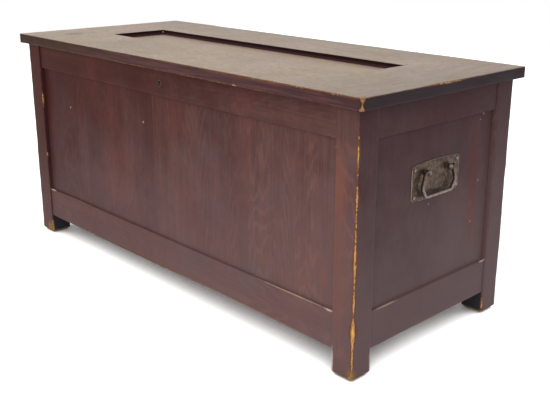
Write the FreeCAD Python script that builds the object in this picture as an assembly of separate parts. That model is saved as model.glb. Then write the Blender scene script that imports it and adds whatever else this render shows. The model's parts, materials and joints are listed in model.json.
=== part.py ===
"""Blanket chest: an oak frame-and-panel case and hinged lid, with a chest lock and two bail handles.

X runs along the chest, Y from its front to its back, Z up.
The origin is on the floor, under the middle of the lid.
Each wall is built where the front wall stands, its outside facing -Y, and is then turned to its own side.
"""

import FreeCAD, Part
import math
import os

V = FreeCAD.Vector

# ---------------------------------------------------------------- case, over the outer faces of the posts
CHEST_HEIGHT = 508.0
CASE_LENGTH = 1083.0
CASE_DEPTH = 450.0

# ---------------------------------------------------------------- posts
POST_WIDTH = 50.0
POST_ARRIS = 1.2
FOOT_HEIGHT = 48.0
FOOT_CHAMFER = 6.5

# ---------------------------------------------------------------- rails
RAIL_THICKNESS = 22.0
RAIL_SETBACK = 3.2
RAIL_ARRIS = 0.8
BOTTOM_RAIL_HEIGHT = 72.0
TOP_RAIL_HEIGHT = 57.0

# ---------------------------------------------------------------- panels of upright boards, loose in grooves
PANEL_THICKNESS = 10.0
PANEL_SETBACK = 9.5
PANEL_PLAY = 0.15
PANEL_SWELL_GAP = 1.5
GROOVE_DEPTH = 8.0
LONG_PANEL_SEAMS = (-352.0, -205.0, -38.0, 118.0, 262.0, 378.0)
END_PANEL_SEAMS = (-26.0, 100.0)

# ---------------------------------------------------------------- haunched mortise and tenon joints
TENON_LENGTH = 24.0
TENON_END_GAP = 1.0
TENON_FIT = 0.05
LOWER_SHOULDER = 8.0
HAUNCH_HEIGHT = 14.0
HAUNCH_GAP = 0.5

# ---------------------------------------------------------------- bottom
CLEAT_SIZE = 20.0
CLEAT_RISE = 6.0
CLEAT_END_GAP = 0.5
BOTTOM_THICKNESS = 12.0
BOTTOM_BOARD_COUNT = 8
BOTTOM_BOARD_GAP = 0.8
BOTTOM_FIT = 0.5

# ---------------------------------------------------------------- lid
LID_THICKNESS = 22.0
END_OVERHANG = 17.5
LONG_EDGE_OVERHANG = 14.5
LID_MEMBER_WIDTH = 166.0
LID_PANEL_THICKNESS = 6.0
LID_PANEL_DROP = 12.5
LID_GROOVE_DEPTH = 10.0
LID_TENON_LENGTH = 30.0
LID_TENON_SHOULDER = 15.0
LID_TOP_ARRIS = 2.2
LID_UNDER_ARRIS = 1.4
LID_CORNER_ARRIS = 4.6

# ---------------------------------------------------------------- butt hinges
HINGE_FROM_END = 190.0
HINGE_LENGTH = 64.0
HINGE_REACH = 19.0
HINGE_AXIS_BEHIND = 1.3
LEAF_THICKNESS = 1.6
KNUCKLE_RADIUS = 3.6
KNUCKLE_COUNT = 3
KNUCKLE_GAP = 0.3
KNUCKLE_LID_CLEARANCE = 0.3
KNUCKLE_STRAP_OVERLAP = 1.0
HINGE_PIN_RADIUS = 1.5
HINGE_PIN_FIT = 0.05
LEAF_KNUCKLE_CLEARANCE = 0.4
LEAF_MORTISE_FIT = 0.4
LEAF_SCREW_SPACING = 22.0
LEAF_SCREW_STAGGER = 2.0

# ---------------------------------------------------------------- flats round a small turned form
TURNED_FLAT_COUNT = 10
KEYHOLE_FLAT_COUNT = 24

# ---------------------------------------------------------------- countersunk wood screws
SCREW_HEAD_RADIUS = 2.9
SCREW_SHANK_RADIUS = 1.5
SCREW_LENGTH = 16.0
SHORT_SCREW_LENGTH = 10.0
SCREW_SLOT_WIDTH = 0.7
SCREW_SLOT_DEPTH = 0.6
SCREW_FIT = 0.05

# ---------------------------------------------------------------- chest lock, let into the front rail
LOCK_PLATE_WIDTH = 76.0
LOCK_PLATE_HEIGHT = 43.0
LOCK_PLATE_THICKNESS = 2.0
LOCK_BOX_WIDTH = 62.0
LOCK_BOX_HEIGHT = 37.0
LOCK_BOX_DEPTH = 10.0
LOCK_BOX_WALL = 1.2
LOCK_FIT = 0.2
STAPLE_SPACING = 28.0
STAPLE_THICKNESS = 3.0
STAPLE_WIDTH = 7.6
STAPLE_DROP = 12.0
STAPLE_EYE_WIDTH = 4.4
STAPLE_EYE_HEIGHT = 4.6
STAPLE_EYE_RISE = 2.0
STAPLE_SLOT_CLEARANCE = 0.4
BOLT_THICKNESS = 3.6
BOLT_BAR_HEIGHT = 8.0
BOLT_BAR_BELOW_STAPLE = 2.0
BOLT_ARM_WIDTH = 4.0
BOLT_NOSE_HEIGHT = 3.6
BOLT_NOSE_LENGTH = 7.2
BOLT_NOSE_CLEARANCE = 0.8
BOLT_GUIDE_HEIGHT = 3.0
BOLT_GUIDE_GAP = 0.2
BOLT_TALON_WIDTH = 7.0
BOLT_TALON_DEPTH = 2.5
KEYHOLE_BELOW_TOP = 28.0
KEYHOLE_RADIUS = 3.2
KEYHOLE_SLOT_WIDTH = 3.4
KEYHOLE_SLOT_DROP = 9.0
KEY_PIN_RADIUS = 1.2
KEY_PIN_SHORTFALL = 1.5
ESCUTCHEON_WALL = 1.5
ESCUTCHEON_DEPTH = 5.0
ESCUTCHEON_PROUD = 0.3
ESCUTCHEON_FIT = 0.05
LINK_PLATE_WIDTH = 64.0
LINK_PLATE_DEPTH = 13.0
LINK_PLATE_THICKNESS = 2.0
LINK_SCREW_INSET = 6.0
LOCK_SCREW_INSET = 4.0

# ---------------------------------------------------------------- bail handles on the end panels
HANDLE_BELOW_TOP = 158.0
HANDLE_PLATE_WIDTH = 142.0
HANDLE_PLATE_HEIGHT = 67.0
HANDLE_PLATE_BOW = 2.5
HANDLE_PLATE_THICKNESS = 2.0
HANDLE_PLATE_CORNER = 4.0
HANDLE_PLATE_BEVEL = 0.9
HANDLE_NAIL_INSET = 8.0
NAIL_HEAD_RADIUS = 3.6
NAIL_HEAD_HEIGHT = 1.8
NAIL_HEAD_SHOULDER = 0.7
NAIL_SHANK_RADIUS = 1.1
NAIL_LENGTH = 9.0
NAIL_FIT = 0.05
STUD_SPACING = 64.0
STUD_RISE = 16.0
STUD_STANDOFF = 7.0
STUD_BALL_RADIUS = 5.5
STUD_BALL_ANGLES = (-15.0, 15.0, 50.0)
STUD_NECK_RADIUS = 3.8
STUD_COLLAR_RADIUS = 7.0
STUD_COLLAR_HEIGHT = 1.2
STUD_SHANK_RADIUS = 3.0
STUD_SHANK_FIT = 0.05
WASHER_RADIUS = 8.0
WASHER_THICKNESS = 1.2
NUT_WIDTH = 11.0
NUT_THICKNESS = 4.0
STUD_END_PAST_NUT = 1.5
BAIL_PIN_RADIUS = 2.0
BAIL_PIN_FIT = 0.05
BAIL_PIN_SHORTFALL = 0.5
BAIL_ARM_CLEARANCE = 0.5
BAIL_BAR_WIDTH = 7.0
BAIL_BAR_THICKNESS = 6.0
BAIL_BAR_BEVEL = 1.4
BAIL_END_RISE = 3.5
BAIL_FLARE_OUT = 8.0
BAIL_FLARE_DROP = 27.0
BAIL_CORNER_IN = 11.0
BAIL_DROP = 44.0

# ---------------------------------------------------------------- how near two places count as one
PLACE_TOLERANCE = 0.01

# ---------------------------------------------------------------- places worked out from the sizes above
CASE_HEIGHT = CHEST_HEIGHT - LID_THICKNESS
LID_LENGTH = CASE_LENGTH + 2 * END_OVERHANG
LID_DEPTH = CASE_DEPTH + 2 * LONG_EDGE_OVERHANG
FRONT_WALL = CASE_DEPTH / 2
END_WALL = CASE_LENGTH / 2
RAIL_BACK = RAIL_SETBACK + RAIL_THICKNESS
GROOVE_FACE = PANEL_SETBACK - PANEL_PLAY
GROOVE_BACK = PANEL_SETBACK + PANEL_THICKNESS + PANEL_PLAY
BOTTOM_RAIL_TOP = FOOT_HEIGHT + BOTTOM_RAIL_HEIGHT
TOP_RAIL_LOW = CASE_HEIGHT - TOP_RAIL_HEIGHT
MORTISE_DEPTH = TENON_LENGTH + TENON_END_GAP
CLEAT_TOP = FOOT_HEIGHT + CLEAT_RISE + CLEAT_SIZE
HINGE_DROP = KNUCKLE_RADIUS + KNUCKLE_LID_CLEARANCE
HINGE_AXIS_Y = CASE_DEPTH / 2 + HINGE_AXIS_BEHIND
HINGE_AXIS_Z = CASE_HEIGHT - HINGE_DROP
HINGE_PLACES = {"left": HINGE_FROM_END - CASE_LENGTH / 2, "right": CASE_LENGTH / 2 - HINGE_FROM_END}


# ================================================================ helpers
def box(x0, x1, y0, y1, z0, z1):
    return Part.makeBox(x1 - x0, y1 - y0, z1 - z0, V(x0, y0, z0))


def rod(radius, start, direction, length):
    return Part.makeCylinder(radius, length, start, direction)


def polygon_prism(points, sweep):
    """A closed outline of straight sides, swept along a vector."""
    return Part.Face(Part.makePolygon(list(points) + [points[0]])).extrude(sweep)


def flatted(profile, at, direction, flats=TURNED_FLAT_COUNT):
    """A small turned form with flats round it.

    profile is (radius, height) pairs along direction; a radius of 0 ends the form in a point.
    """
    angles = [2 * math.pi * n / flats for n in range(flats)]
    rings = [[V(r * math.cos(a), r * math.sin(a), h) for a in angles] if r > 0 else [V(0, 0, h)] * flats
             for r, h in profile]
    outlines = [ring for ring in (rings[0], rings[-1]) if ring[0] != ring[1]]
    for low, high in zip(rings, rings[1:]):
        for n in range(flats):
            m = (n + 1) % flats
            side = [low[n], low[m], high[m], high[n]]
            outlines.append([p for k, p in enumerate(side) if p != side[k - 1]])
    solid = Part.Solid(Part.Shell([Part.Face(Part.makePolygon(o + o[:1])) for o in outlines]))
    solid.Placement = FreeCAD.Placement(at, FreeCAD.Rotation(V(0, 0, 1), direction))
    return solid


def upright_edges(block):
    return [e for e in block.Edges if e.BoundBox.ZLength > PLACE_TOLERANCE]


def level_edges(block, z):
    return [e for e in block.Edges
            if e.BoundBox.ZLength < PLACE_TOLERANCE and abs(e.CenterOfMass.z - z) < PLACE_TOLERANCE]


def eased(block, *eases):
    """A block with some of its edges chamfered: each ease is a size and the edges that it is taken off."""
    shape = block
    for size, edges in eases:
        shape = shape.common(block.makeChamfer(size, edges))
    return shape


def turned(shape, degrees):
    """A copy turned about the chest's upright centre line."""
    copy = shape.copy()
    copy.rotate(V(0, 0, 0), V(0, 0, 1), degrees)
    return copy


def joined(first, *others):
    return first.fuse(list(others)).removeSplitter()


def cut(shape, *tools):
    return shape.cut(list(tools))


def save(name, *solids):
    """Writes one node: a single solid, or separate solids of one kind."""
    shape = solids[0] if len(solids) == 1 else Part.makeCompound(list(solids))
    shape.exportStep(os.path.join("parts", name + ".step"))


WALL_TURNS = {"front": 0, "right": 90, "back": 180, "left": -90}


# ================================================================ posts
def post():
    """A post whose outer faces lie on x = 0 and y = 0, mortised and grooved on its two inner faces."""
    block = box(0, POST_WIDTH, 0, POST_WIDTH, 0, CASE_HEIGHT)
    blank = eased(block, (POST_ARRIS, upright_edges(block)), (FOOT_CHAMFER, level_edges(block, 0)))
    cutters = []
    for depth, low, high in (
        (MORTISE_DEPTH, FOOT_HEIGHT + LOWER_SHOULDER, BOTTOM_RAIL_TOP - GROOVE_DEPTH),
        (GROOVE_DEPTH, BOTTOM_RAIL_TOP - GROOVE_DEPTH, CASE_HEIGHT),
        (MORTISE_DEPTH, TOP_RAIL_LOW + GROOVE_DEPTH, CASE_HEIGHT - HAUNCH_HEIGHT),
    ):
        cutters.append(box(POST_WIDTH - depth, POST_WIDTH, GROOVE_FACE, GROOVE_BACK, low, high))
        cutters.append(box(GROOVE_FACE, GROOVE_BACK, POST_WIDTH - depth, POST_WIDTH, low, high))
    return cut(blank, *cutters)


def make_posts():
    corner = post()
    for name, degrees, x_side, y_side in (
        ("front_left", 0, -1, -1),
        ("front_right", 90, 1, -1),
        ("back_right", 180, 1, 1),
        ("back_left", -90, -1, 1),
    ):
        placed = turned(corner, degrees)
        placed.translate(V(x_side * CASE_LENGTH / 2, y_side * CASE_DEPTH / 2, 0))
        save("post_" + name, placed)


# ================================================================ rails
def rail(span, wall, low, high, grooved_top, tenon_low, tenon_high):
    """A rail between two posts: its section, groove and arrises in one profile, then the tenons."""
    face = RAIL_SETBACK - wall
    back = RAIL_BACK - wall
    a = RAIL_ARRIS
    edge, inward = (high, -1) if grooved_top else (low, 1)
    plain = low if grooved_top else high
    section = [
        (face + a, plain),
        (face, plain - inward * a),
        (face, edge + inward * a),
        (face + a, edge),
        (GROOVE_FACE - wall, edge),
        (GROOVE_FACE - wall, edge + inward * GROOVE_DEPTH),
        (GROOVE_BACK - wall, edge + inward * GROOVE_DEPTH),
        (GROOVE_BACK - wall, edge),
        (back, edge),
        (back, plain),
    ]
    shoulder = span / 2 - POST_WIDTH
    body = polygon_prism([V(-shoulder, y, z) for y, z in section], V(2 * shoulder, 0, 0))
    end = shoulder + TENON_LENGTH
    cheeks = (GROOVE_FACE - wall + TENON_FIT, GROOVE_BACK - wall - TENON_FIT)
    tenons = box(-end, end, *cheeks, tenon_low + TENON_FIT, tenon_high - TENON_FIT)
    return joined(body, tenons), shoulder, cheeks


def bottom_rail(span, wall):
    low = FOOT_HEIGHT
    top = BOTTOM_RAIL_TOP
    return rail(span, wall, low, top, True, low + LOWER_SHOULDER, top - GROOVE_DEPTH)[0]


def top_rail(span, wall):
    """The haunch is the short part of the tenon that fills the post's groove up to its top."""
    low = TOP_RAIL_LOW
    top = CASE_HEIGHT
    body, shoulder, cheeks = rail(span, wall, low, top, False, low + GROOVE_DEPTH, top - HAUNCH_HEIGHT)
    reach = shoulder + GROOVE_DEPTH - HAUNCH_GAP
    haunches = box(-reach, reach, *cheeks, top - HAUNCH_HEIGHT - TENON_FIT, top)
    return joined(body, haunches)


# ================================================================ wall panels
def boards(span, wall, seams):
    """Upright boards glued edge to edge, standing in the bottom rail's groove, free to swell in the posts."""
    half = span / 2 - POST_WIDTH + GROOVE_DEPTH - PANEL_SWELL_GAP
    low = BOTTOM_RAIL_TOP - GROOVE_DEPTH
    high = TOP_RAIL_LOW + GROOVE_DEPTH - PANEL_SWELL_GAP
    face = PANEL_SETBACK - wall
    edges = [-half, *seams, half]
    return [box(a, b, face, face + PANEL_THICKNESS, low, high) for a, b in zip(edges, edges[1:])]


# ================================================================ bottom
def make_bottom():
    """Boards across the chest on cleats; the two end boards are notched round the posts."""
    inner_y = CASE_DEPTH / 2 - RAIL_BACK
    inner_x = CASE_LENGTH / 2 - RAIL_BACK
    cleat_low = CLEAT_TOP - CLEAT_SIZE
    for side, degrees, reach, span in (
        ("front", 0, inner_y, CASE_LENGTH),
        ("back", 180, inner_y, CASE_LENGTH),
        ("right", 90, inner_x, CASE_DEPTH),
        ("left", -90, inner_x, CASE_DEPTH),
    ):
        half = span / 2 - POST_WIDTH - CLEAT_END_GAP
        cleat = box(-half, half, -reach, CLEAT_SIZE - reach, cleat_low, CLEAT_TOP)
        save("bottom_cleat_" + side, turned(cleat, degrees))
    first = BOTTOM_FIT - inner_x
    pitch = 2 * (inner_x - BOTTOM_FIT) / BOTTOM_BOARD_COUNT
    end_y = inner_y - BOTTOM_FIT
    top = CLEAT_TOP + BOTTOM_THICKNESS
    post_x = CASE_LENGTH / 2 - POST_WIDTH - BOTTOM_FIT
    post_y = CASE_DEPTH / 2 - POST_WIDTH - BOTTOM_FIT
    notches = [
        box(min(sx * post_x, sx * END_WALL), max(sx * post_x, sx * END_WALL),
            min(sy * post_y, sy * FRONT_WALL), max(sy * post_y, sy * FRONT_WALL), CLEAT_TOP, top)
        for sx in (-1, 1) for sy in (-1, 1)
    ]
    laid = []
    for number in range(BOTTOM_BOARD_COUNT):
        left = first + number * pitch + BOTTOM_BOARD_GAP / 2
        right = left + pitch - BOTTOM_BOARD_GAP
        laid.append(cut(box(left, right, -end_y, end_y, CLEAT_TOP, top), *notches))
    save("bottom_boards", *laid)


# ================================================================ lid
def lid_blank():
    """The outer form of the whole lid frame, its arrises off, before it is parted into its members."""
    x, y = LID_LENGTH / 2, LID_DEPTH / 2
    slab = box(-x, x, -y, y, CASE_HEIGHT, CHEST_HEIGHT)
    corners = upright_edges(slab)
    top, under = level_edges(slab, CHEST_HEIGHT), level_edges(slab, CASE_HEIGHT)
    return eased(slab, (LID_CORNER_ARRIS, corners), (LID_TOP_ARRIS, top), (LID_UNDER_ARRIS, under))


def make_lid(rail_holes):
    """Two end stiles, two long rails tenoned between them, and a dropped panel in the grooves of all four."""
    x, y = LID_LENGTH / 2, LID_DEPTH / 2
    open_x, open_y = x - LID_MEMBER_WIDTH, y - LID_MEMBER_WIDTH
    panel_top = CHEST_HEIGHT - LID_PANEL_DROP
    groove_low = panel_top - LID_PANEL_THICKNESS - PANEL_PLAY
    groove_high = panel_top + PANEL_PLAY
    low, high = CASE_HEIGHT, CHEST_HEIGHT
    slab = lid_blank()
    groove = box(-open_x - LID_GROOVE_DEPTH, open_x + LID_GROOVE_DEPTH,
                 -open_y - LID_GROOVE_DEPTH, open_y + LID_GROOVE_DEPTH, groove_low, groove_high)
    tenon_inner = open_y + LID_GROOVE_DEPTH
    tenon_outer = y - LID_TENON_SHOULDER
    mortise_end = open_x + LID_TENON_LENGTH + TENON_END_GAP
    for side, sign in (("front", -1), ("back", 1)):
        region = box(-open_x, open_x, *sorted((sign * open_y, sign * y)), low, high)
        tenon_end = open_x + LID_TENON_LENGTH
        near, far = tenon_inner + TENON_FIT, tenon_outer - TENON_FIT
        tenon = box(-tenon_end, tenon_end, *sorted((sign * near, sign * far)),
                    groove_low + TENON_FIT, groove_high - TENON_FIT)
        member = joined(cut(slab.common(region), groove), tenon)
        save("lid_rail_" + side, cut(member, *rail_holes[side]))
    for side, sign in (("left", -1), ("right", 1)):
        region = box(*sorted((sign * open_x, sign * x)), -y, y, low, high)
        mortises = [
            box(*sorted((sign * open_x, sign * mortise_end)), *sorted((s * tenon_inner, s * tenon_outer)),
                groove_low, groove_high)
            for s in (-1, 1)
        ]
        save("lid_stile_" + side, cut(slab.common(region), groove, *mortises))
    edge = LID_GROOVE_DEPTH - PANEL_SWELL_GAP
    save("lid_panel", box(-open_x - edge, open_x + edge, -open_y - edge, open_y + edge,
                          panel_top - LID_PANEL_THICKNESS, panel_top))


# ================================================================ screws and nails
def screw(length, at, direction):
    """A slotted countersunk screw: at is the middle of its flat head, and it points along direction."""
    head, shank = SCREW_HEAD_RADIUS, SCREW_SHANK_RADIUS
    body = flatted([(head, 0), (shank, head - shank), (shank, length - shank), (0, length)], at, direction)
    slot = box(-head, head, -SCREW_SLOT_WIDTH / 2, SCREW_SLOT_WIDTH / 2, 0, SCREW_SLOT_DEPTH)
    slot.Placement = body.Placement
    return cut(body, slot)


def screw_hole(length, at, direction):
    """The countersink and pilot hole that a screw of this length fills."""
    head = SCREW_HEAD_RADIUS + SCREW_FIT
    shank = SCREW_SHANK_RADIUS + SCREW_FIT
    return flatted([(head, 0), (shank, head - shank), (shank, length)], at, direction)


# ================================================================ hinges
def hinge_axis_point(x):
    return V(x, HINGE_AXIS_Y, HINGE_AXIS_Z)


def knuckle_spans(centre, first):
    """Every other knuckle along the barrel, with half the axial gap taken off each of its ends."""
    pitch = HINGE_LENGTH / KNUCKLE_COUNT
    start = centre - HINGE_LENGTH / 2
    return [(start + n * pitch + KNUCKLE_GAP / 2, start + (n + 1) * pitch - KNUCKLE_GAP / 2)
            for n in range(first, KNUCKLE_COUNT, 2)]


def hinge_leaf(centre, first_knuckle, side):
    """A flat leaf with its share of the rolled knuckles: side is +1 under the lid, and -1 on the case."""
    half = HINGE_LENGTH / 2
    outer = HINGE_AXIS_Z + side * HINGE_DROP
    z_range = sorted((outer, outer - side * LEAF_THICKNESS))
    plate_back = HINGE_AXIS_Y - KNUCKLE_RADIUS - LEAF_KNUCKLE_CLEARANCE
    leaf = box(centre - half, centre + half, HINGE_AXIS_Y - HINGE_REACH, plate_back, *z_range)
    for x0, x1 in knuckle_spans(centre, first_knuckle):
        strap = box(x0, x1, plate_back - KNUCKLE_STRAP_OVERLAP, HINGE_AXIS_Y, *z_range)
        leaf = leaf.fuse([strap, rod(KNUCKLE_RADIUS, hinge_axis_point(x0), V(1, 0, 0), x1 - x0)])
    bore = rod(HINGE_PIN_RADIUS + HINGE_PIN_FIT, hinge_axis_point(centre - half), V(1, 0, 0), HINGE_LENGTH)
    return cut(leaf.removeSplitter(), bore)


def leaf_screw_places(centre, side):
    """Three screws in a staggered row, their heads flush with the face that looks at the other leaf."""
    row = HINGE_AXIS_Y - (KNUCKLE_RADIUS + LEAF_KNUCKLE_CLEARANCE + HINGE_REACH) / 2
    z = HINGE_AXIS_Z + side * (HINGE_DROP - LEAF_THICKNESS)
    stagger = {-1: LEAF_SCREW_STAGGER, 0: -LEAF_SCREW_STAGGER, 1: LEAF_SCREW_STAGGER}
    return [V(centre + n * LEAF_SCREW_SPACING, row + stagger[n], z) for n in (-1, 0, 1)]


def hinge_pin(centre):
    """A plain pin, flush with the ends of the barrel."""
    return rod(HINGE_PIN_RADIUS, hinge_axis_point(centre - HINGE_LENGTH / 2), V(1, 0, 0), HINGE_LENGTH)


def make_hinges():
    """Returns the cuts for the back rail and for the lid's back rail."""
    rail_cuts, lid_cuts, case_screws, lid_screws = [], [], [], []
    for name, centre in HINGE_PLACES.items():
        for side, part_name, first, screws, cuts in (
            (-1, "case_leaf", 0, case_screws, rail_cuts),
            (1, "lid_leaf", 1, lid_screws, lid_cuts),
        ):
            places = leaf_screw_places(centre, side)
            direction = V(0, 0, side)
            holes = [screw_hole(SCREW_LENGTH, p, direction) for p in places]
            save("hinge_" + name + "_" + part_name, cut(hinge_leaf(centre, first, side), *holes))
            screws += [screw(SCREW_LENGTH, p, direction) for p in places]
            cuts += holes
        save("hinge_" + name + "_pin", hinge_pin(centre))
        half = HINGE_LENGTH / 2 + LEAF_MORTISE_FIT
        rail_cuts.append(box(centre - half, centre + half, HINGE_AXIS_Y - HINGE_REACH - LEAF_MORTISE_FIT,
                             HINGE_AXIS_Y, CASE_HEIGHT - 2 * HINGE_DROP, CASE_HEIGHT))
    save("hinge_case_screws", *case_screws)
    save("hinge_lid_screws", *lid_screws)
    return rail_cuts, lid_cuts


# ================================================================ lock
# The lock's depths are counted from the posts' front faces.
LOCK_BACK = RAIL_BACK - FRONT_WALL
LOCK_PLATE_FACE = LOCK_BACK - LOCK_PLATE_THICKNESS
LOCK_BOX_FACE = LOCK_PLATE_FACE - LOCK_BOX_DEPTH
LOCK_BOX_TOP = CASE_HEIGHT - LOCK_PLATE_THICKNESS
STAPLE_Y = (LOCK_BOX_FACE + LOCK_BOX_WALL + LOCK_PLATE_FACE) / 2
STAPLE_LOW = CASE_HEIGHT - STAPLE_DROP
STAPLE_PLACES = (-STAPLE_SPACING / 2, STAPLE_SPACING / 2)
KEYHOLE_Z = CASE_HEIGHT - KEYHOLE_BELOW_TOP
BOLT_BAR_TOP = STAPLE_LOW - BOLT_BAR_BELOW_STAPLE
BOLT_BAR_LOW = BOLT_BAR_TOP - BOLT_BAR_HEIGHT
BOLT_ARM_BACK = STAPLE_THICKNESS / 2 + BOLT_NOSE_CLEARANCE + BOLT_NOSE_LENGTH + BOLT_ARM_WIDTH


def keyhole(radius, slot_width, slot_drop, y0, y1):
    """A round hole with a slot below it that ends in a half round."""
    along = V(0, 1, 0)
    half = slot_width / 2
    foot = V(0, y0, KEYHOLE_Z - slot_drop + half)
    depth = y1 - y0
    round_hole = flatted([(radius, 0), (radius, depth)], V(0, y0, KEYHOLE_Z), along, KEYHOLE_FLAT_COUNT)
    slot = box(-half, half, y0, y1, foot.z, KEYHOLE_Z)
    return joined(round_hole, slot, flatted([(half, 0), (half, depth)], foot, along, KEYHOLE_FLAT_COUNT))


def plain_keyhole(y0, y1):
    return keyhole(KEYHOLE_RADIUS, KEYHOLE_SLOT_WIDTH, KEYHOLE_SLOT_DROP, y0, y1)


def grown_keyhole(grow, y0, y1):
    return keyhole(KEYHOLE_RADIUS + grow, KEYHOLE_SLOT_WIDTH + 2 * grow, KEYHOLE_SLOT_DROP + grow, y0, y1)


def staple_slots(grow, low, high):
    """The room that the two staples take, grown all round."""
    half_x = STAPLE_THICKNESS / 2 + grow
    half_y = STAPLE_WIDTH / 2 + grow
    y0, y1 = STAPLE_Y - half_y, STAPLE_Y + half_y
    return [box(x - half_x, x + half_x, y0, y1, low, high) for x in STAPLE_PLACES]


def lock_plate():
    """The plate flush with the rail's inside, its strip bent over the rail's top edge, and the key's pin."""
    half = LOCK_PLATE_WIDTH / 2
    back = box(-half, half, LOCK_PLATE_FACE, LOCK_BACK, CASE_HEIGHT - LOCK_PLATE_HEIGHT, CASE_HEIGHT)
    strip = box(-half, half, LOCK_BOX_FACE, LOCK_BACK, LOCK_BOX_TOP, CASE_HEIGHT)
    pin_start = LOCK_BOX_FACE + LOCK_BOX_WALL + KEY_PIN_SHORTFALL
    pin_length = LOCK_PLATE_FACE - pin_start
    r = KEY_PIN_RADIUS
    pin = flatted([(r, 0), (r, pin_length)], V(0, pin_start, KEYHOLE_Z), V(0, 1, 0))
    return cut(joined(back, strip, pin), *staple_slots(STAPLE_SLOT_CLEARANCE, LOCK_BOX_TOP, CASE_HEIGHT))


def lock_box():
    """The sheet box in front of the plate, open towards it, with two guides that the bolt slides on."""
    half = LOCK_BOX_WIDTH / 2
    w = LOCK_BOX_WALL
    low = LOCK_BOX_TOP - LOCK_BOX_HEIGHT
    shell = box(-half, half, LOCK_BOX_FACE, LOCK_PLATE_FACE, low, LOCK_BOX_TOP)
    room = box(w - half, half - w, LOCK_BOX_FACE + w, LOCK_PLATE_FACE, low + w, LOCK_BOX_TOP)
    guide_top = BOLT_BAR_LOW - BOLT_GUIDE_GAP
    guides = [
        box(*sorted((s * (half - w), s * STAPLE_SPACING / 4)), LOCK_BOX_FACE + w, LOCK_PLATE_FACE,
            guide_top - BOLT_GUIDE_HEIGHT, guide_top)
        for s in (-1, 1)
    ]
    shell = joined(cut(shell, room), *guides)
    return cut(shell, plain_keyhole(LOCK_BOX_FACE, LOCK_BOX_FACE + w))


def lock_bolt():
    """A bar with two arms, whose noses point at the staples' eyes, and a notch below for the key."""
    y0, y1 = STAPLE_Y - BOLT_THICKNESS / 2, STAPLE_Y + BOLT_THICKNESS / 2
    eye_middle = STAPLE_LOW + STAPLE_EYE_RISE + STAPLE_EYE_HEIGHT / 2
    nose_low, nose_top = eye_middle - BOLT_NOSE_HEIGHT / 2, eye_middle + BOLT_NOSE_HEIGHT / 2
    bar_left = STAPLE_PLACES[0] - BOLT_ARM_BACK
    bar_right = STAPLE_PLACES[1] - BOLT_ARM_BACK + BOLT_ARM_WIDTH
    pieces = []
    for x in STAPLE_PLACES:
        back = x - BOLT_ARM_BACK
        tip = x - STAPLE_THICKNESS / 2 - BOLT_NOSE_CLEARANCE
        pieces.append(box(back, back + BOLT_ARM_WIDTH, y0, y1, BOLT_BAR_LOW, nose_top))
        pieces.append(box(back, tip, y0, y1, nose_low, nose_top))
    bar = joined(box(bar_left, bar_right, y0, y1, BOLT_BAR_LOW, BOLT_BAR_TOP), *pieces)
    talon_top = BOLT_BAR_LOW + BOLT_TALON_DEPTH
    return cut(bar, box(-BOLT_TALON_WIDTH, 0, y0, y1, BOLT_BAR_LOW, talon_top))


def link_plate():
    """The plate let into the lid, with the two staples that drop through the lock's top strip."""
    half_x, half_y = LINK_PLATE_WIDTH / 2, LINK_PLATE_DEPTH / 2
    plate = box(-half_x, half_x, STAPLE_Y - half_y, STAPLE_Y + half_y, CASE_HEIGHT,
                CASE_HEIGHT + LINK_PLATE_THICKNESS)
    body = joined(plate, *staple_slots(0, STAPLE_LOW, CASE_HEIGHT))
    half_eye = STAPLE_EYE_WIDTH / 2
    eye_low = STAPLE_LOW + STAPLE_EYE_RISE
    return cut(body, box(-half_x, half_x, STAPLE_Y - half_eye, STAPLE_Y + half_eye,
                         eye_low, eye_low + STAPLE_EYE_HEIGHT))


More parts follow.
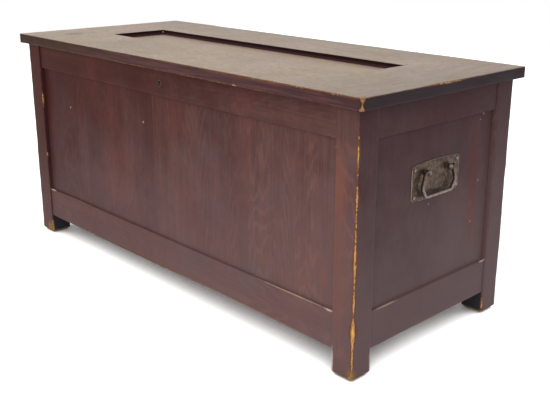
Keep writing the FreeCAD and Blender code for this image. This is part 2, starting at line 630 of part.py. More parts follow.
def make_lock():
    """Returns the cuts for the front rail and for the lid's front rail."""
    f = LOCK_FIT
    half = LOCK_PLATE_WIDTH / 2 + f
    plate_low = CASE_HEIGHT - LOCK_PLATE_HEIGHT - f
    box_half = LOCK_BOX_WIDTH / 2 + f
    box_low = LOCK_BOX_TOP - LOCK_BOX_HEIGHT - f
    rail_face = RAIL_SETBACK - FRONT_WALL
    rail_cuts = [
        box(-half, half, LOCK_PLATE_FACE, LOCK_BACK, plate_low, CASE_HEIGHT),
        box(-half, half, LOCK_BOX_FACE - f, LOCK_BACK, LOCK_BOX_TOP, CASE_HEIGHT),
        box(-box_half, box_half, LOCK_BOX_FACE - f, LOCK_BACK, box_low, CASE_HEIGHT),
        plain_keyhole(rail_face, LOCK_BOX_FACE),
        grown_keyhole(ESCUTCHEON_WALL + ESCUTCHEON_FIT, rail_face, rail_face + ESCUTCHEON_DEPTH),
    ]
    inset = LOCK_SCREW_INSET
    edge = LOCK_PLATE_WIDTH / 2 - inset
    plate_screws = [V(s * edge, LOCK_BACK, z) for s in (-1, 1)
                    for z in (CASE_HEIGHT - LOCK_PLATE_HEIGHT + inset, LOCK_BOX_TOP - 2 * inset)]
    inward = V(0, -1, 0)
    holes = [screw_hole(SHORT_SCREW_LENGTH, p, inward) for p in plate_screws]
    save("lock_plate", cut(lock_plate(), *holes))
    save("lock_box", lock_box())
    save("lock_bolt", lock_bolt())
    save("lock_screws", *[screw(SHORT_SCREW_LENGTH, p, inward) for p in plate_screws])
    ring = cut(grown_keyhole(ESCUTCHEON_WALL, rail_face - ESCUTCHEON_PROUD, rail_face + ESCUTCHEON_DEPTH),
               plain_keyhole(rail_face - ESCUTCHEON_PROUD, rail_face + ESCUTCHEON_DEPTH))
    save("keyhole_escutcheon", ring)
    link_screws = [V(s * (LINK_PLATE_WIDTH / 2 - LINK_SCREW_INSET), STAPLE_Y, CASE_HEIGHT) for s in (-1, 1)]
    upward = V(0, 0, 1)
    link_holes = [screw_hole(SCREW_LENGTH, p, upward) for p in link_screws]
    save("lid_link_plate", cut(link_plate(), *link_holes))
    save("lid_link_screws", *[screw(SCREW_LENGTH, p, upward) for p in link_screws])
    half_x, half_y = LINK_PLATE_WIDTH / 2 + f, LINK_PLATE_DEPTH / 2 + f
    lid_cuts = [box(-half_x, half_x, STAPLE_Y - half_y, STAPLE_Y + half_y, CASE_HEIGHT,
                    CASE_HEIGHT + LINK_PLATE_THICKNESS), *link_holes]
    return rail_cuts + holes, lid_cuts


# ================================================================ bail handles
PANEL_FACE = PANEL_SETBACK - END_WALL
PANEL_BACK = PANEL_FACE + PANEL_THICKNESS
PLATE_FACE = PANEL_FACE - HANDLE_PLATE_THICKNESS
HANDLE_Z = CASE_HEIGHT - HANDLE_BELOW_TOP
BAIL_AXIS_Y = PLATE_FACE - STUD_STANDOFF
BAIL_AXIS_Z = HANDLE_Z + STUD_RISE
BAIL_ARM_X = STUD_SPACING / 2 + STUD_BALL_RADIUS + BAIL_ARM_CLEARANCE + BAIL_BAR_WIDTH / 2
OUTWARD = V(0, -1, 0)
INWARD = V(0, 1, 0)


def handle_plate():
    """A beaten plate: its long edges bow outwards, its corners are clipped and its rim is bevelled."""
    x, z, c = HANDLE_PLATE_WIDTH / 2, HANDLE_PLATE_HEIGHT / 2, HANDLE_PLATE_CORNER
    y = PANEL_FACE

    def at(px, pz):
        return V(px, y, HANDLE_Z + pz)

    def bowed(side):
        middle = at(0, side * (z + HANDLE_PLATE_BOW))
        return Part.Arc(at(-side * (x - c), side * z), middle, at(side * (x - c), side * z)).toShape()

    def straight(start, end):
        return Part.LineSegment(start, end).toShape()

    outline = Part.Wire([
        bowed(1), straight(at(x - c, z), at(x, z - c)), straight(at(x, z - c), at(x, c - z)),
        straight(at(x, c - z), at(x - c, -z)), bowed(-1), straight(at(c - x, -z), at(-x, c - z)),
        straight(at(-x, c - z), at(-x, z - c)), straight(at(-x, z - c), at(c - x, z)),
    ])
    plate = Part.Face(outline).extrude(V(0, -HANDLE_PLATE_THICKNESS, 0))
    rim = [e for e in plate.Edges if e.BoundBox.YMax < PLATE_FACE + PLACE_TOLERANCE]
    return plate.makeChamfer(HANDLE_PLATE_BEVEL, rim)


def stud(x):
    """A round-headed stud, cross-bored for the bail's pin, with a shank through the panel."""
    inside = PANEL_BACK + WASHER_THICKNESS + NUT_THICKNESS + STUD_END_PAST_NUT - PLATE_FACE
    ball, neck, collar, shank = STUD_BALL_RADIUS, STUD_NECK_RADIUS, STUD_COLLAR_RADIUS, STUD_SHANK_RADIUS
    rise = STUD_COLLAR_HEIGHT
    profile = [(shank, -inside), (shank, 0), (collar, 0), (collar, rise), (neck, rise),
               (neck, STUD_STANDOFF - math.sqrt(ball**2 - neck**2))]
    for angle in map(math.radians, STUD_BALL_ANGLES):
        profile.append((ball * math.cos(angle), STUD_STANDOFF + ball * math.sin(angle)))
    body = flatted(profile, V(x, PLATE_FACE, BAIL_AXIS_Z), OUTWARD)
    cross = V(x - ball, BAIL_AXIS_Y, BAIL_AXIS_Z)
    return cut(body, rod(BAIL_PIN_RADIUS + BAIL_PIN_FIT, cross, V(1, 0, 0), 2 * ball))


def stud_hole(x):
    radius = STUD_SHANK_RADIUS + STUD_SHANK_FIT
    reach = PANEL_BACK + WASHER_THICKNESS + NUT_THICKNESS - PLATE_FACE
    return flatted([(radius, -reach), (radius, 0)], V(x, PLATE_FACE, BAIL_AXIS_Z), OUTWARD)


def stud_washer(x):
    r = WASHER_RADIUS
    disc = flatted([(r, -WASHER_THICKNESS), (r, 0)], V(x, PANEL_BACK, BAIL_AXIS_Z), OUTWARD)
    return cut(disc, stud_hole(x))


def stud_nut(x):
    half = NUT_WIDTH / 2
    y = PANEL_BACK + WASHER_THICKNESS
    block = box(x - half, x + half, y, y + NUT_THICKNESS, BAIL_AXIS_Z - half, BAIL_AXIS_Z + half)
    return cut(block, stud_hole(x))


def nail(place):
    """A clout nail with a low beaten head, driven through the plate into the panel."""
    head, shank = NAIL_HEAD_RADIUS, NAIL_SHANK_RADIUS
    profile = [(0, -NAIL_LENGTH), (shank, 2 * shank - NAIL_LENGTH), (shank, 0), (head, 0),
               (NAIL_HEAD_SHOULDER * head, NAIL_HEAD_SHOULDER * NAIL_HEAD_HEIGHT), (0, NAIL_HEAD_HEIGHT)]
    return flatted(profile, place, OUTWARD)


def nail_hole(place):
    radius = NAIL_SHANK_RADIUS + NAIL_FIT
    return flatted([(radius, -NAIL_LENGTH), (radius, 0)], place, OUTWARD)


def bail():
    """A forged bar with bevelled edges, bent at four corners, that hangs from two inward pins."""
    flare_x = BAIL_ARM_X + BAIL_FLARE_OUT
    corner_x = flare_x - BAIL_CORNER_IN
    end_x = BAIL_ARM_X - BAIL_END_RISE * BAIL_FLARE_OUT / BAIL_FLARE_DROP
    half = [(end_x, BAIL_END_RISE), (flare_x, -BAIL_FLARE_DROP), (corner_x, -BAIL_DROP)]
    points = [V(x, BAIL_AXIS_Y, BAIL_AXIS_Z + z) for x, z in half + [(-x, z) for x, z in reversed(half)]]
    path = Part.makePolygon(points)
    w, t, b = BAIL_BAR_WIDTH / 2, BAIL_BAR_THICKNESS / 2, BAIL_BAR_BEVEL
    half_ring = [(-w, b - t), (-w, t - b), (b - w, t), (w - b, t)]
    ring = half_ring + [(-x, -y) for x, y in half_ring]
    section = Part.makePolygon([points[0] + V(x, y, 0) for x, y in ring + ring[:1]])
    sweep = Part.BRepOffsetAPI.MakePipeShell(path)
    sweep.setTransitionMode(1)
    sweep.add(section)
    sweep.build()
    sweep.makeSolid()
    pins = []
    for s in (-1, 1):
        root = V(s * BAIL_ARM_X, BAIL_AXIS_Y, BAIL_AXIS_Z)
        length = w + BAIL_ARM_CLEARANCE + 2 * STUD_BALL_RADIUS - BAIL_PIN_SHORTFALL
        pins.append(rod(BAIL_PIN_RADIUS, root, V(-s, 0, 0), length))
    return joined(sweep.shape(), *pins)


def make_handles():
    """Returns the holes that both end panels need, in the front wall's frame."""
    stud_xs = (-STUD_SPACING / 2, STUD_SPACING / 2)
    nail_x = HANDLE_PLATE_WIDTH / 2 - HANDLE_NAIL_INSET
    nail_z = HANDLE_PLATE_HEIGHT / 2 - HANDLE_NAIL_INSET
    nail_places = [V(sx * nail_x, PLATE_FACE, HANDLE_Z + sz * nail_z) for sx in (-1, 1) for sz in (-1, 1)]
    nail_holes = [nail_hole(p) for p in nail_places]
    stud_holes = [stud_hole(x) for x in stud_xs]
    for side in ("left", "right"):
        degrees = WALL_TURNS[side]
        stem = "handle_" + side + "_"
        save(stem + "plate", turned(cut(handle_plate(), *nail_holes, *stud_holes), degrees))
        save(stem + "studs", *[turned(stud(x), degrees) for x in stud_xs])
        save(stem + "washers", *[turned(stud_washer(x), degrees) for x in stud_xs])
        save(stem + "nuts", *[turned(stud_nut(x), degrees) for x in stud_xs])
        save(stem + "nails", *[turned(nail(p), degrees) for p in nail_places])
        save(stem + "bail", turned(bail(), degrees))
    return nail_holes + stud_holes


# ================================================================ the chest
def make_walls(front_rail_cuts, back_rail_cuts, end_panel_cuts):
    """Four walls of two rails and a panel each. Cuts for the back rail are given where it stands."""
    for side, degrees in WALL_TURNS.items():
        is_end = side in ("left", "right")
        span, wall = (CASE_DEPTH, END_WALL) if is_end else (CASE_LENGTH, FRONT_WALL)
        upper = top_rail(span, wall)
        if side == "front":
            upper = cut(upper, *front_rail_cuts)
        upper = turned(upper, degrees)
        if side == "back":
            upper = cut(upper, *back_rail_cuts)
        save("rail_" + side + "_top", upper)
        save("rail_" + side + "_bottom", turned(bottom_rail(span, wall), degrees))
        panel = boards(span, wall, END_PANEL_SEAMS if is_end else LONG_PANEL_SEAMS)
        if is_end:
            panel = [cut(board, *end_panel_cuts) for board in panel]
        save("panel_" + side, *[turned(board, degrees) for board in panel])


os.makedirs("parts", exist_ok=True)
make_posts()
hinge_rail_cuts, hinge_lid_cuts = make_hinges()
lock_rail_cuts, lock_lid_cuts = make_lock()
handle_cuts = make_handles()
make_walls(lock_rail_cuts, hinge_rail_cuts, handle_cuts)
make_bottom()
make_lid({"front": lock_lid_cuts, "back": hinge_lid_cuts})
print("chest", LID_LENGTH, "x", LID_DEPTH, "x", CHEST_HEIGHT, "mm")
print("the lid turns about y, z", HINGE_AXIS_Y, HINGE_AXIS_Z)
print("the bails turn about x, z", -BAIL_AXIS_Y, BAIL_AXIS_Z)
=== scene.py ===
# %% [markdown]
# # A blanket chest, dressed around its frame
# The frame is a finished model of how an oak blanket chest is built. This lesson gives it its
# looks. It never moves or resizes a part: it puts a worn, finely shaped skin in the place of each
# wooden part, makes the beaten iron, and lights the whole. Every length is in metres and every
# place is the frame's own.

# %% Load the frame
import json
import math
import random
from functools import reduce

import bmesh
import bpy
import numpy as np
from mathutils import Matrix, Vector, noise
from mathutils.bvhtree import BVHTree


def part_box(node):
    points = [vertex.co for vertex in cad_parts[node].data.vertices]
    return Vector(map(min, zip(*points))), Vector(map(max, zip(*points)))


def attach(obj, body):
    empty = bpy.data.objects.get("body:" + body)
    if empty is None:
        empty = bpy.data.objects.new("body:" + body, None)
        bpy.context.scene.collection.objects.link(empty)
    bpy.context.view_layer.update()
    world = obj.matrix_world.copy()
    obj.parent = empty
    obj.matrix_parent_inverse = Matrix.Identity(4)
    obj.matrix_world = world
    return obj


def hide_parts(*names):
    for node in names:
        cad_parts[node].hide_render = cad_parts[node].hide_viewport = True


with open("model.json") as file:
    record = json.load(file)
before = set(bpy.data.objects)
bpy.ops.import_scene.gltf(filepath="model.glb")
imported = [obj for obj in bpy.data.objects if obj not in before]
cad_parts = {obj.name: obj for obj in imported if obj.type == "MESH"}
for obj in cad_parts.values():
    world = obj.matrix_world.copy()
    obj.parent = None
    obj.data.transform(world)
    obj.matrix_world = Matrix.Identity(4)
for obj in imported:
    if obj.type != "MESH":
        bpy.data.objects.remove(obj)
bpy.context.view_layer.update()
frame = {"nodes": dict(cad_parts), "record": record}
BODIES = frame["record"]["behaviour"]["bodies"]
NODE_BODY = {name: body for body, names in BODIES.items() for name in names}
NODE_SLOT = {part["node"]: part["material_slot"] for part in frame["record"]["subparts"]}

# %% [markdown]
# ## The camera
# A camera is a place, three turns and a lens. The chest is seen from its front right corner, a
# little from above, with its upright edges closing towards the floor. A camera aimed at a target
# would be quicker to write, but it can't hold the slight roll of a camera held by hand.

# %% Camera
CAMERA_PLACE = (1.3823, -1.1970, 0.7548)
CAMERA_YAW = math.radians(45.725)
CAMERA_PITCH = math.radians(16.797)
CAMERA_ROLL = math.radians(0.398)
CAMERA_SHIFT = (-0.0273, -0.0364)
FOCAL_LENGTH, SENSOR_WIDTH = 54.33, 36.0


def placed(name, data):
    """A new object, in the scene."""
    made = bpy.data.objects.new(name, data)
    bpy.context.scene.collection.objects.link(made)
    return made


lens = bpy.data.cameras.new("camera")
lens.lens, lens.sensor_width = FOCAL_LENGTH, SENSOR_WIDTH
lens.shift_x, lens.shift_y = CAMERA_SHIFT
camera = placed("camera", lens)
turns = (Matrix.Rotation(CAMERA_YAW, 4, "Z") @ Matrix.Rotation(math.pi / 2 - CAMERA_PITCH, 4, "X")
         @ Matrix.Rotation(CAMERA_ROLL, 4, "Z"))
camera.matrix_world = Matrix.Translation(CAMERA_PLACE) @ turns
bpy.context.scene.camera = camera
print("camera", CAMERA_PLACE, "lens", FOCAL_LENGTH, "mm")

# %% [markdown]
# ## Planks out of solids
# A plank is known by its grain: it runs along the longest side, and the growth rings show across
# it. So each solid gets its own coordinates, kept on its points: how far along the grain, across
# it, and deep. A texture that reads them turns with the plank, which world coordinates can't do
# for rails that run two ways. A tone of its own tells one plank from the next.

# %% Loose solids of a part
BOARD_AXIS = {"panel_front": 0, "panel_back": 0, "panel_left": 1, "panel_right": 1}
FLAT_TURN, SQUARE_ON = math.radians(0.5), 0.99
JOIN_WITHIN, CUT_WITHIN, STEP_INSIDE = 2e-6, 1e-6, 1e-4


def board_of(face, axis, seams):
    """Which board of a panel a face belongs to: the one on its inner side."""
    place = face.calc_center_median()[axis] - STEP_INSIDE * face.normal[axis]
    return sum(place > seam for seam in seams)


def in_order(sequence, chosen):
    """The chosen ones in the mesh's own order, so that every run gives the same result."""
    return [item for item in sequence if item in chosen]


def merged_copy(node):
    """The CAD mesh as one skin for each solid: loose triangles joined, flat neighbours one face."""
    bm = bmesh.new()
    bm.from_mesh(frame["nodes"][node].data)
    bmesh.ops.split_edges(bm, edges=bm.edges)
    bm.normal_update()
    axis, seams, boards = BOARD_AXIS.get(node), set(), {}
    if axis is not None:
        ends = [{round(f.calc_center_median()[axis], 5) for f in bm.faces
                 if way * f.normal[axis] > SQUARE_ON} for way in (1, -1)]
        seams = ends[0] & ends[1]
    for face in bm.faces:
        boards.setdefault(board_of(face, axis, seams) if seams else 0, []).append(face)
    for faces in boards.values():
        points = {v for f in faces for v in f.verts}
        bmesh.ops.remove_doubles(bm, verts=in_order(bm.verts, points), dist=JOIN_WITHIN)
    bmesh.ops.dissolve_limit(bm, angle_limit=FLAT_TURN, verts=bm.verts, edges=bm.edges)
    return bm


def islands(bm):
    """The points of each loose solid, in an order that the places give."""
    seen, found = set(), []
    for start in bm.verts:
        if start in seen:
            continue
        group, rim = {start}, [start]
        while rim:
            for edge in rim.pop().link_edges:
                for vert in edge.verts:
                    if vert not in group:
                        group.add(vert)
                        rim.append(vert)
        seen |= group
        found.append(group)
    return sorted(found, key=lambda group: [round(float(x), 4) for x in extent(group)[0]])


def extent(verts):
    points = np.array([v.co for v in verts])
    return points.min(0), points.max(0)


print("rail_front_top as one skin has", len(merged_copy("rail_front_top").faces), "faces")

# %% [markdown]
# ## Arrises that hands have rubbed
# On an old chest the finish is thinnest on its arrises, the long corners that hands and shoes
# meet, and the wood under it is slightly rounded away. Only an arris with air on both of its
# sides wears, so each edge is asked whether another part covers one of them. Cutting the skin
# into short lengths, with a line a few millimetres in from each arris, gives points that can be
# moved, and a value that fades from the arris to that line, which tells the finish where it is
# rubbed.

# %% Find the exposed arrises
STRIP, STATION = 0.006, 0.012
SHARP_TURN = math.radians(25)
PROBE_IN, PROBE_OUT, PROBE_REACH = 0.0022, 0.0006, 0.02


def tree_of_others(node):
    """Every part but this one, as one searchable skin."""
    verts, faces = [], []
    for name, other in frame["nodes"].items():
        if name != node:
            start = len(verts)
            verts += [v.co.copy() for v in other.data.vertices]
            faces += [[start + i for i in face.vertices] for face in other.data.polygons]
    return BVHTree.FromPolygons(verts, faces)


def covered(point, others):
    place, normal, *_ = others.find_nearest(point, PROBE_REACH)
    return place is not None and (point - place).dot(normal) < 0


def is_exposed(edge, others):
    """True for an edge with a turn to it and free air beside both of its faces."""
    if len(edge.link_faces) != 2 or edge.calc_face_angle(0) < SHARP_TURN:
        return False
    start, end = (vert.co for vert in edge.verts)
    middle, along = (start + end) / 2, (end - start).normalized()
    for face in edge.link_faces:
        inward = face.normal.cross(along).normalized()
        if (face.calc_center_median() - middle).dot(inward) < 0:
            inward = -inward
        if covered(middle + inward * PROBE_IN + face.normal * PROBE_OUT, others):
            return False
    return True


def slice_across(bm, verts, axis, places):
    """Cuts a solid with planes square to an axis."""
    normal = Vector([float(i == axis) for i in range(3)])
    for place in places:
        faces = {f for v in verts if v.is_valid for f in v.link_faces}
        edges = {e for f in faces for e in f.edges}
        points = {v for f in faces for v in f.verts}
        geom = (in_order(bm.verts, points) + in_order(bm.edges, edges)
                + in_order(bm.faces, faces))
        cut = bmesh.ops.bisect_plane(bm, geom=geom, dist=CUT_WITHIN,
                                     plane_co=normal * place, plane_no=normal)
        verts |= points | {g for g in cut["geom"] if isinstance(g, bmesh.types.BMVert)}


def ladder(low, high, step):
    count = max(1, round((high - low) / step))
    return [low + (high - low) * n / count for n in range(1, count)]


# %% [markdown]
# ## One function for every wooden part
# One function makes a post, a rail or a plank of the lid: it joins the skin, cuts it, rubs its
# exposed arrises back by a ragged depth, and stores the plank's coordinates. The shading is
# smooth over the small chamfers and sharp at square corners, with normals weighted by area, so
# that wide faces stay flat. A point on the floor moves only sideways, so that the feet still
# stand on it.

# %% Dress a wooden part
RUB_GRAIN, RUB_DEPTH = 55.0, 0.0011
ON_FLOOR = 0.0001
SQUARE_TURN = math.radians(60)
tone_dice = random.Random(7)


def rub_depth(place, amount):
    """How far the arris is rubbed back: ragged, and deeper where the part is worn more."""
    ragged, broad = (0.5 + 0.5 * noise.noise(place * RUB_GRAIN / scale) for scale in (1, 6))
    return RUB_DEPTH * amount * ragged * broad * 2


def cut_in_strips(bm):
    """Cuts each solid near its arrises, and into short lengths along its longest side."""
    for group in islands(bm):
        low, high = extent(group)
        for axis in range(3):
            if high[axis] - low[axis] > 3 * STRIP:
                slice_across(bm, group, axis, (low[axis] + STRIP, high[axis] - STRIP))
        longest = int(np.argmax(high - low))
        stations = ladder(low[longest] + STRIP, high[longest] - STRIP, STATION)
        slice_across(bm, group, longest, stations)


def store_planks(bm):
    """Keeps each plank's own coordinates and its tone on its points."""
    place_layer = bm.verts.layers.float_vector.new("plank")
    tone_layer = bm.verts.layers.float.new("tone")
    for group in islands(bm):
        low, high = extent(group)
        middle = (low + high) / 2
        order = np.argsort(low - high, kind="stable")
        tone = tone_dice.random()
        for vert in group:
            vert[place_layer] = Vector([vert.co[i] - middle[i] for i in order])
            vert[tone_layer] = tone


def rub_arrises(bm, node, wear):
    """Moves the points of exposed arrises inwards, and gives how many there are."""
    arris_layer = bm.verts.layers.float["arris"]
    others = tree_of_others(node)
    rubbed = {vert for edge in bm.edges if is_exposed(edge, others) for vert in edge.verts}
    bm.normal_update()
    moves = {vert: -vert.normal * rub_depth(vert.co, wear) for vert in rubbed}
    for vert, move in moves.items():
        vert[arris_layer] = wear
        move.z = 0.0 if vert.co.z < ON_FLOOR else move.z
        vert.co += move
    return len(rubbed)


def shade(bm, smooth=True):
    """Smooth faces, sharp square corners."""
    for edge in bm.edges:
        edge.smooth = edge.calc_face_angle(0) < SQUARE_TURN
    for face in bm.faces:
        face.smooth = smooth


def mesh_of(bm, name):
    """A plain mesh out of a bmesh, which is freed."""
    mesh = bpy.data.meshes.new(name)
    bm.to_mesh(mesh)
    bm.free()
    return mesh


def stand_in(name, mesh, node):
    """A piece that stands for a part of the frame, on its body, with the part hidden."""
    piece = placed(name, mesh)
    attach(piece, NODE_BODY[node])
    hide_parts(node)
    return piece


def dress_wood(node, wear):
    bm = merged_copy(node)
    if wear:
        cut_in_strips(bm)
    store_planks(bm)
    bm.verts.layers.float.new("arris")
    rubbed = rub_arrises(bm, node, wear) if wear else 0
    shade(bm, smooth=wear > 0)
    piece = stand_in(node + "_worn", mesh_of(bm, node + "_worn"), node)
    piece.modifiers.new("weighted normals", "WEIGHTED_NORMAL").keep_sharp = True
    return piece, rubbed


# %% [markdown]
# Each kind of part has its wear. Posts and the lid's frame meet hands and shoes most, the rails
# about half as much. Boards whose edges all lie in grooves have none: they keep their flat faces,
# because no hand ever reached those edges.

# %% Posts, rails and boards
WOOD_WEAR = {"post": 1.0, "rail": 0.55, "lid_rail": 1.0, "lid_stile": 1.0, "bottom_cleat": 0.4}
WOODS = ("case_oak", "lid_oak", "bottom_wood")

wood_pieces = {}
for name in sorted(name for name, slot_name in NODE_SLOT.items() if slot_name in WOODS):
    amount = next((wear for kind, wear in WOOD_WEAR.items() if name.startswith(kind)), 0.0)
    wood_pieces[name], rubbed_points = dress_wood(name, amount)
    print(f"{name}: {len(wood_pieces[name].data.polygons)} faces, {rubbed_points} rubbed points")

# %% [markdown]
# ## Materials written as formulas
# A finish is a recipe: this colour here, that one where the grain is open, less shine where it is
# rubbed. In Blender a recipe is a tree of nodes, and drawing one by code takes a line for each
# link. Here each method of a small class adds one node and gives back its output, so that a
# finish reads as a formula. Numbers that are the same all over stay on the shader's own sockets.
# Places and facings are the object's own, so that a pattern moves with the lid when it opens.

# %% Trees and finishes
class Tree:
    """A node tree written by code."""

    def __init__(self, tree):
        self.tree = tree

    def node(self, kind, output=0, feeds=(), **settings):
        """A shader node by its short name, or another by its full name."""
        made = self.tree.nodes.new(kind if "Node" in kind else "ShaderNode" + kind)
        for key, value in settings.items():
            setattr(made, key, value)
        for key, value in dict(feeds).items():
            self.feed(made.inputs[key], value)
        return made.outputs[output]

    def feed(self, socket, value):
        """Links an output, or each of a list of them, or sets a value. A colour needs no alpha."""
        for part in value if isinstance(value, list) else [value]:
            if isinstance(part, bpy.types.NodeSocket):
                self.tree.links.new(part, socket)
            else:
                socket.default_value = (*part, 1.0) if socket.type == "RGBA" else part

    def maths(self, operation, *values):
        return self.node("Math", 0, enumerate(values), operation=operation)

    def times(self, first, second):
        return self.maths("MULTIPLY", first, second)

    def larger(self, *values):
        return reduce(lambda first, second: self.maths("MAXIMUM", first, second), values)

    def vector(self, operation, *values):
        output = "Value" if operation in ("LENGTH", "DOT_PRODUCT") else "Vector"
        return self.node("VectorMath", output, enumerate(values), operation=operation)

    def ramp(self, value, low, high, bottom=0.0, top=1.0):
        """A soft step: bottom below low, top above high."""
        return self.node("MapRange", 0, enumerate((value, low, high, bottom, top)),
                         interpolation_type="SMOOTHSTEP")

    def fall(self, value, low, high, top=1.0):
        return self.ramp(value, low, high, top, 0.0)


class Finish(Tree):
    """A material whose colour, roughness and relief are formulas of place and wear."""

    def __init__(self, name, **constants):
        self.material = bpy.data.materials.new(name)
        self.material.use_nodes = True
        super().__init__(self.material.node_tree)
        self.shader = self.tree.nodes["Principled BSDF"].inputs
        for socket, value in constants.items():
            self.shader[socket].default_value = value
        self.place = self.node("TexCoord", "Object")
        self.facing = self.place.node.outputs["Normal"]
        self.x, self.y, self.z = self.parts(self.place)
        self.nx, _, self.nz = self.parts(self.facing)

    def attribute(self, name, output="Fac"):
        return self.node("Attribute", output, attribute_name=name)

    def parts(self, vector):
        return self.node("SeparateXYZ", 0, {0: vector}).node.outputs[:]

    def noise(self, stretch, detail=3.0, roughness=0.55, where=None):
        stretched = self.vector("MULTIPLY", where or self.place, stretch)
        feeds = {"Vector": stretched, "Scale": 1.0, "Detail": detail, "Roughness": roughness}
        return self.node("TexNoise", "Fac", feeds)

    def mix(self, amount, first, second):
        feeds = {"Factor": amount, 6: first, 7: second}
        return self.node("Mix", 2, feeds, data_type="RGBA")

    def coats(self, colour, *coats):
        """Lays (share, colour) coats over a colour, one after the other."""
        for share, coat in coats:
            colour = self.mix(share, colour, coat)
        return colour

    def sum_of(self, *terms):
        """Adds (value, share) pairs."""
        total = 0.0
        for value, share in terms:
            total = self.maths("MULTIPLY_ADD", value, share, total)
        return total

    def away_from(self, centre, size):
        return self.vector("DIVIDE", self.vector("SUBTRACT", self.place, centre), size)

    def near(self, centre, size, edge, ragged=0.0):
        """1 at a point, falling to 0 over an oval; edge is the fall's share of the oval."""
        away = self.vector("LENGTH", self.away_from(centre, size))
        return self.fall(self.maths("ADD", away, ragged), 1 - edge, 1.0)

    def within(self, low, high):
        """1 between two corners of a box, 0 outside it."""
        middle = tuple((a + b) / 2 for a, b in zip(low, high))
        half = tuple((b - a) / 2 for a, b in zip(low, high))
        away = self.parts(self.vector("ABSOLUTE", self.away_from(middle, half)))
        return self.maths("LESS_THAN", self.larger(*away), 1.0)

    def finish(self, colour, roughness, height, depth):
        bump = self.node("Bump", "Normal",
                         {"Strength": 1.0, "Distance": depth, "Height": height})
        for socket, value in zip(("Base Color", "Roughness", "Normal"), (colour, roughness, bump)):
            self.feed(self.shader[socket], value)
        return self.material


# %% [markdown]
# ## Oak under an old dark finish
# Oak shows three scales at once. Long pores lie along the grain as fine dark dashes. Growth rings
# draw lines near a plank's edges and nested arches near its middle, because a ring is a cylinder
# round the tree's pith, which runs at a slight tilt under the board. Broad bands, darker and
# redder, come from how the wood drank the stain. An image could hold all that for one board, but
# the formulas below give every board its own, from its tone.

# %% Grain of a plank
RING_SPACING = 0.0105
PITH_TILT = 0.2


class Wood(Finish):
    """Adds a plank's tone, ring lines, pores, fine streaks and broad bands, each from 0 to 1."""

    def __init__(self, name, **constants):
        super().__init__(name, **constants)
        plank, self.tone = self.attribute("plank", "Vector"), self.attribute("tone")
        shift = self.vector("MULTIPLY", (3.1, 7.7, 5.3), self.tone)
        self.own = self.vector("ADD", plank, shift)
        along, across, _ = self.parts(plank)
        sway, shiver = self.grained(2.4, 9.0), self.grained(16.0, 120.0)
        side = self.maths("ADD", across, self.maths("MULTIPLY_ADD", self.tone, 0.12, -0.06))
        pith = self.sum_of((along, PITH_TILT), (sway, 0.12), (0.02, 1.0))
        squares = self.maths("ADD", self.times(side, side), self.times(pith, pith))
        radius = self.maths("MULTIPLY_ADD", shiver, 0.012, self.maths("SQRT", squares))
        wave = self.maths("SINE", self.times(radius, 2 * math.pi / RING_SPACING))
        drawn = self.ramp(self.grained(2.0, 16.0, 2.0), 0.45, 0.6)
        self.rings = self.times(self.ramp(wave, 0.1, 1.0), drawn)
        self.pores = self.grained(70.0, 1500.0, 2.0)
        self.streaks = self.grained(6.0, 230.0, 4.0, 0.65)
        self.bands = self.grained(1.5, 30.0)

    def grained(self, along, across, *fineness):
        return self.noise((along, across, across), *fineness, where=self.own)


# %% [markdown]
# ## Where the finish has gone
# Rubbing takes a finish away in stages. First the top coat goes, and the stain under it shows
# orange. Then the stain goes, and the bare wood shows as a dull gold. Both start on the arris, so
# each stage is a ragged step of the same value: the arris value that the skins carry, plus the
# wear of the place, less some noise. Each place has its reason: a doorway met one corner, shoes
# met the feet, hands met the lid's edge.

# %% Wear of the arrises
def reach(node):
    """How far a part reaches from the chest's middle, along X and along Y."""
    low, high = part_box(node)
    return [max(abs(low[axis]), abs(high[axis])) for axis in (0, 1)]


POST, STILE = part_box("post_front_right"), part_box("lid_stile_right")
POST_X, POST_Y = reach("post_front_right")
POST_WIDTH = POST[1][0] - POST[0][0]
INNER_X, INNER_Y = POST_X - POST_WIDTH, POST_Y - POST_WIDTH
RAIL_X, RAIL_Y = reach("rail_right_bottom")[0], reach("rail_front_bottom")[1]
PANEL_X, PANEL_Y = reach("panel_right")[0], reach("panel_front")[1]
RAIL_LOW, LEDGE = (corner[2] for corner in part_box("rail_front_bottom"))
LID_X, LID_Y = reach("lid_stile_right")
LID_UNDER, LID_TOP = STILE[0][2], STILE[1][2]
PANEL_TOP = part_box("lid_panel")[1][2]
HOLE_X, HOLE_Y = STILE[0][0], -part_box("lid_rail_front")[1][1]
LID_MIDDLE = (LID_TOP + LID_UNDER) / 2

NEAR_CORNER_WORN = [(0.2, 0.3, 0.5), (0.413, 0.055, 0.42), (0.335, 0.035, 0.35),
                    (0.225, 0.035, 0.35), (0.15, 0.02, 0.3), (0.098, 0.028, 0.9),
                    (0.05, 0.06, 0.35)]
LEFT_POST_WORN = [(0.35, 0.03, 0.6), (0.21, 0.012, 0.6), (0.1, 0.04, 0.45)]
CASE_WORN = [
    *(((POST_X, -POST_Y, z), (0.02, 0.02, size), more) for z, size, more in NEAR_CORNER_WORN),
    ((POST_X, -POST_Y, 0.0), (0.03, 0.03, 0.02), 0.1),
    *(((-INNER_X, -POST_Y, z), (0.014, 0.014, size), more) for z, size, more in LEFT_POST_WORN),
    ((-INNER_X, -POST_Y, 0.02), (0.012, 0.02, 0.03), 0.6),
    ((POST_X, INNER_Y, 0.02), (0.012, 0.02, 0.03), 0.6),
    ((0.0, -RAIL_Y, RAIL_LOW), (0.6, 0.01, 0.01), 0.7),
    ((RAIL_X, 0.0, RAIL_LOW), (0.01, 0.25, 0.01), 0.4),
    ((0.0, -RAIL_Y, LEDGE), (0.55, 0.008, 0.008), 0.32),
]
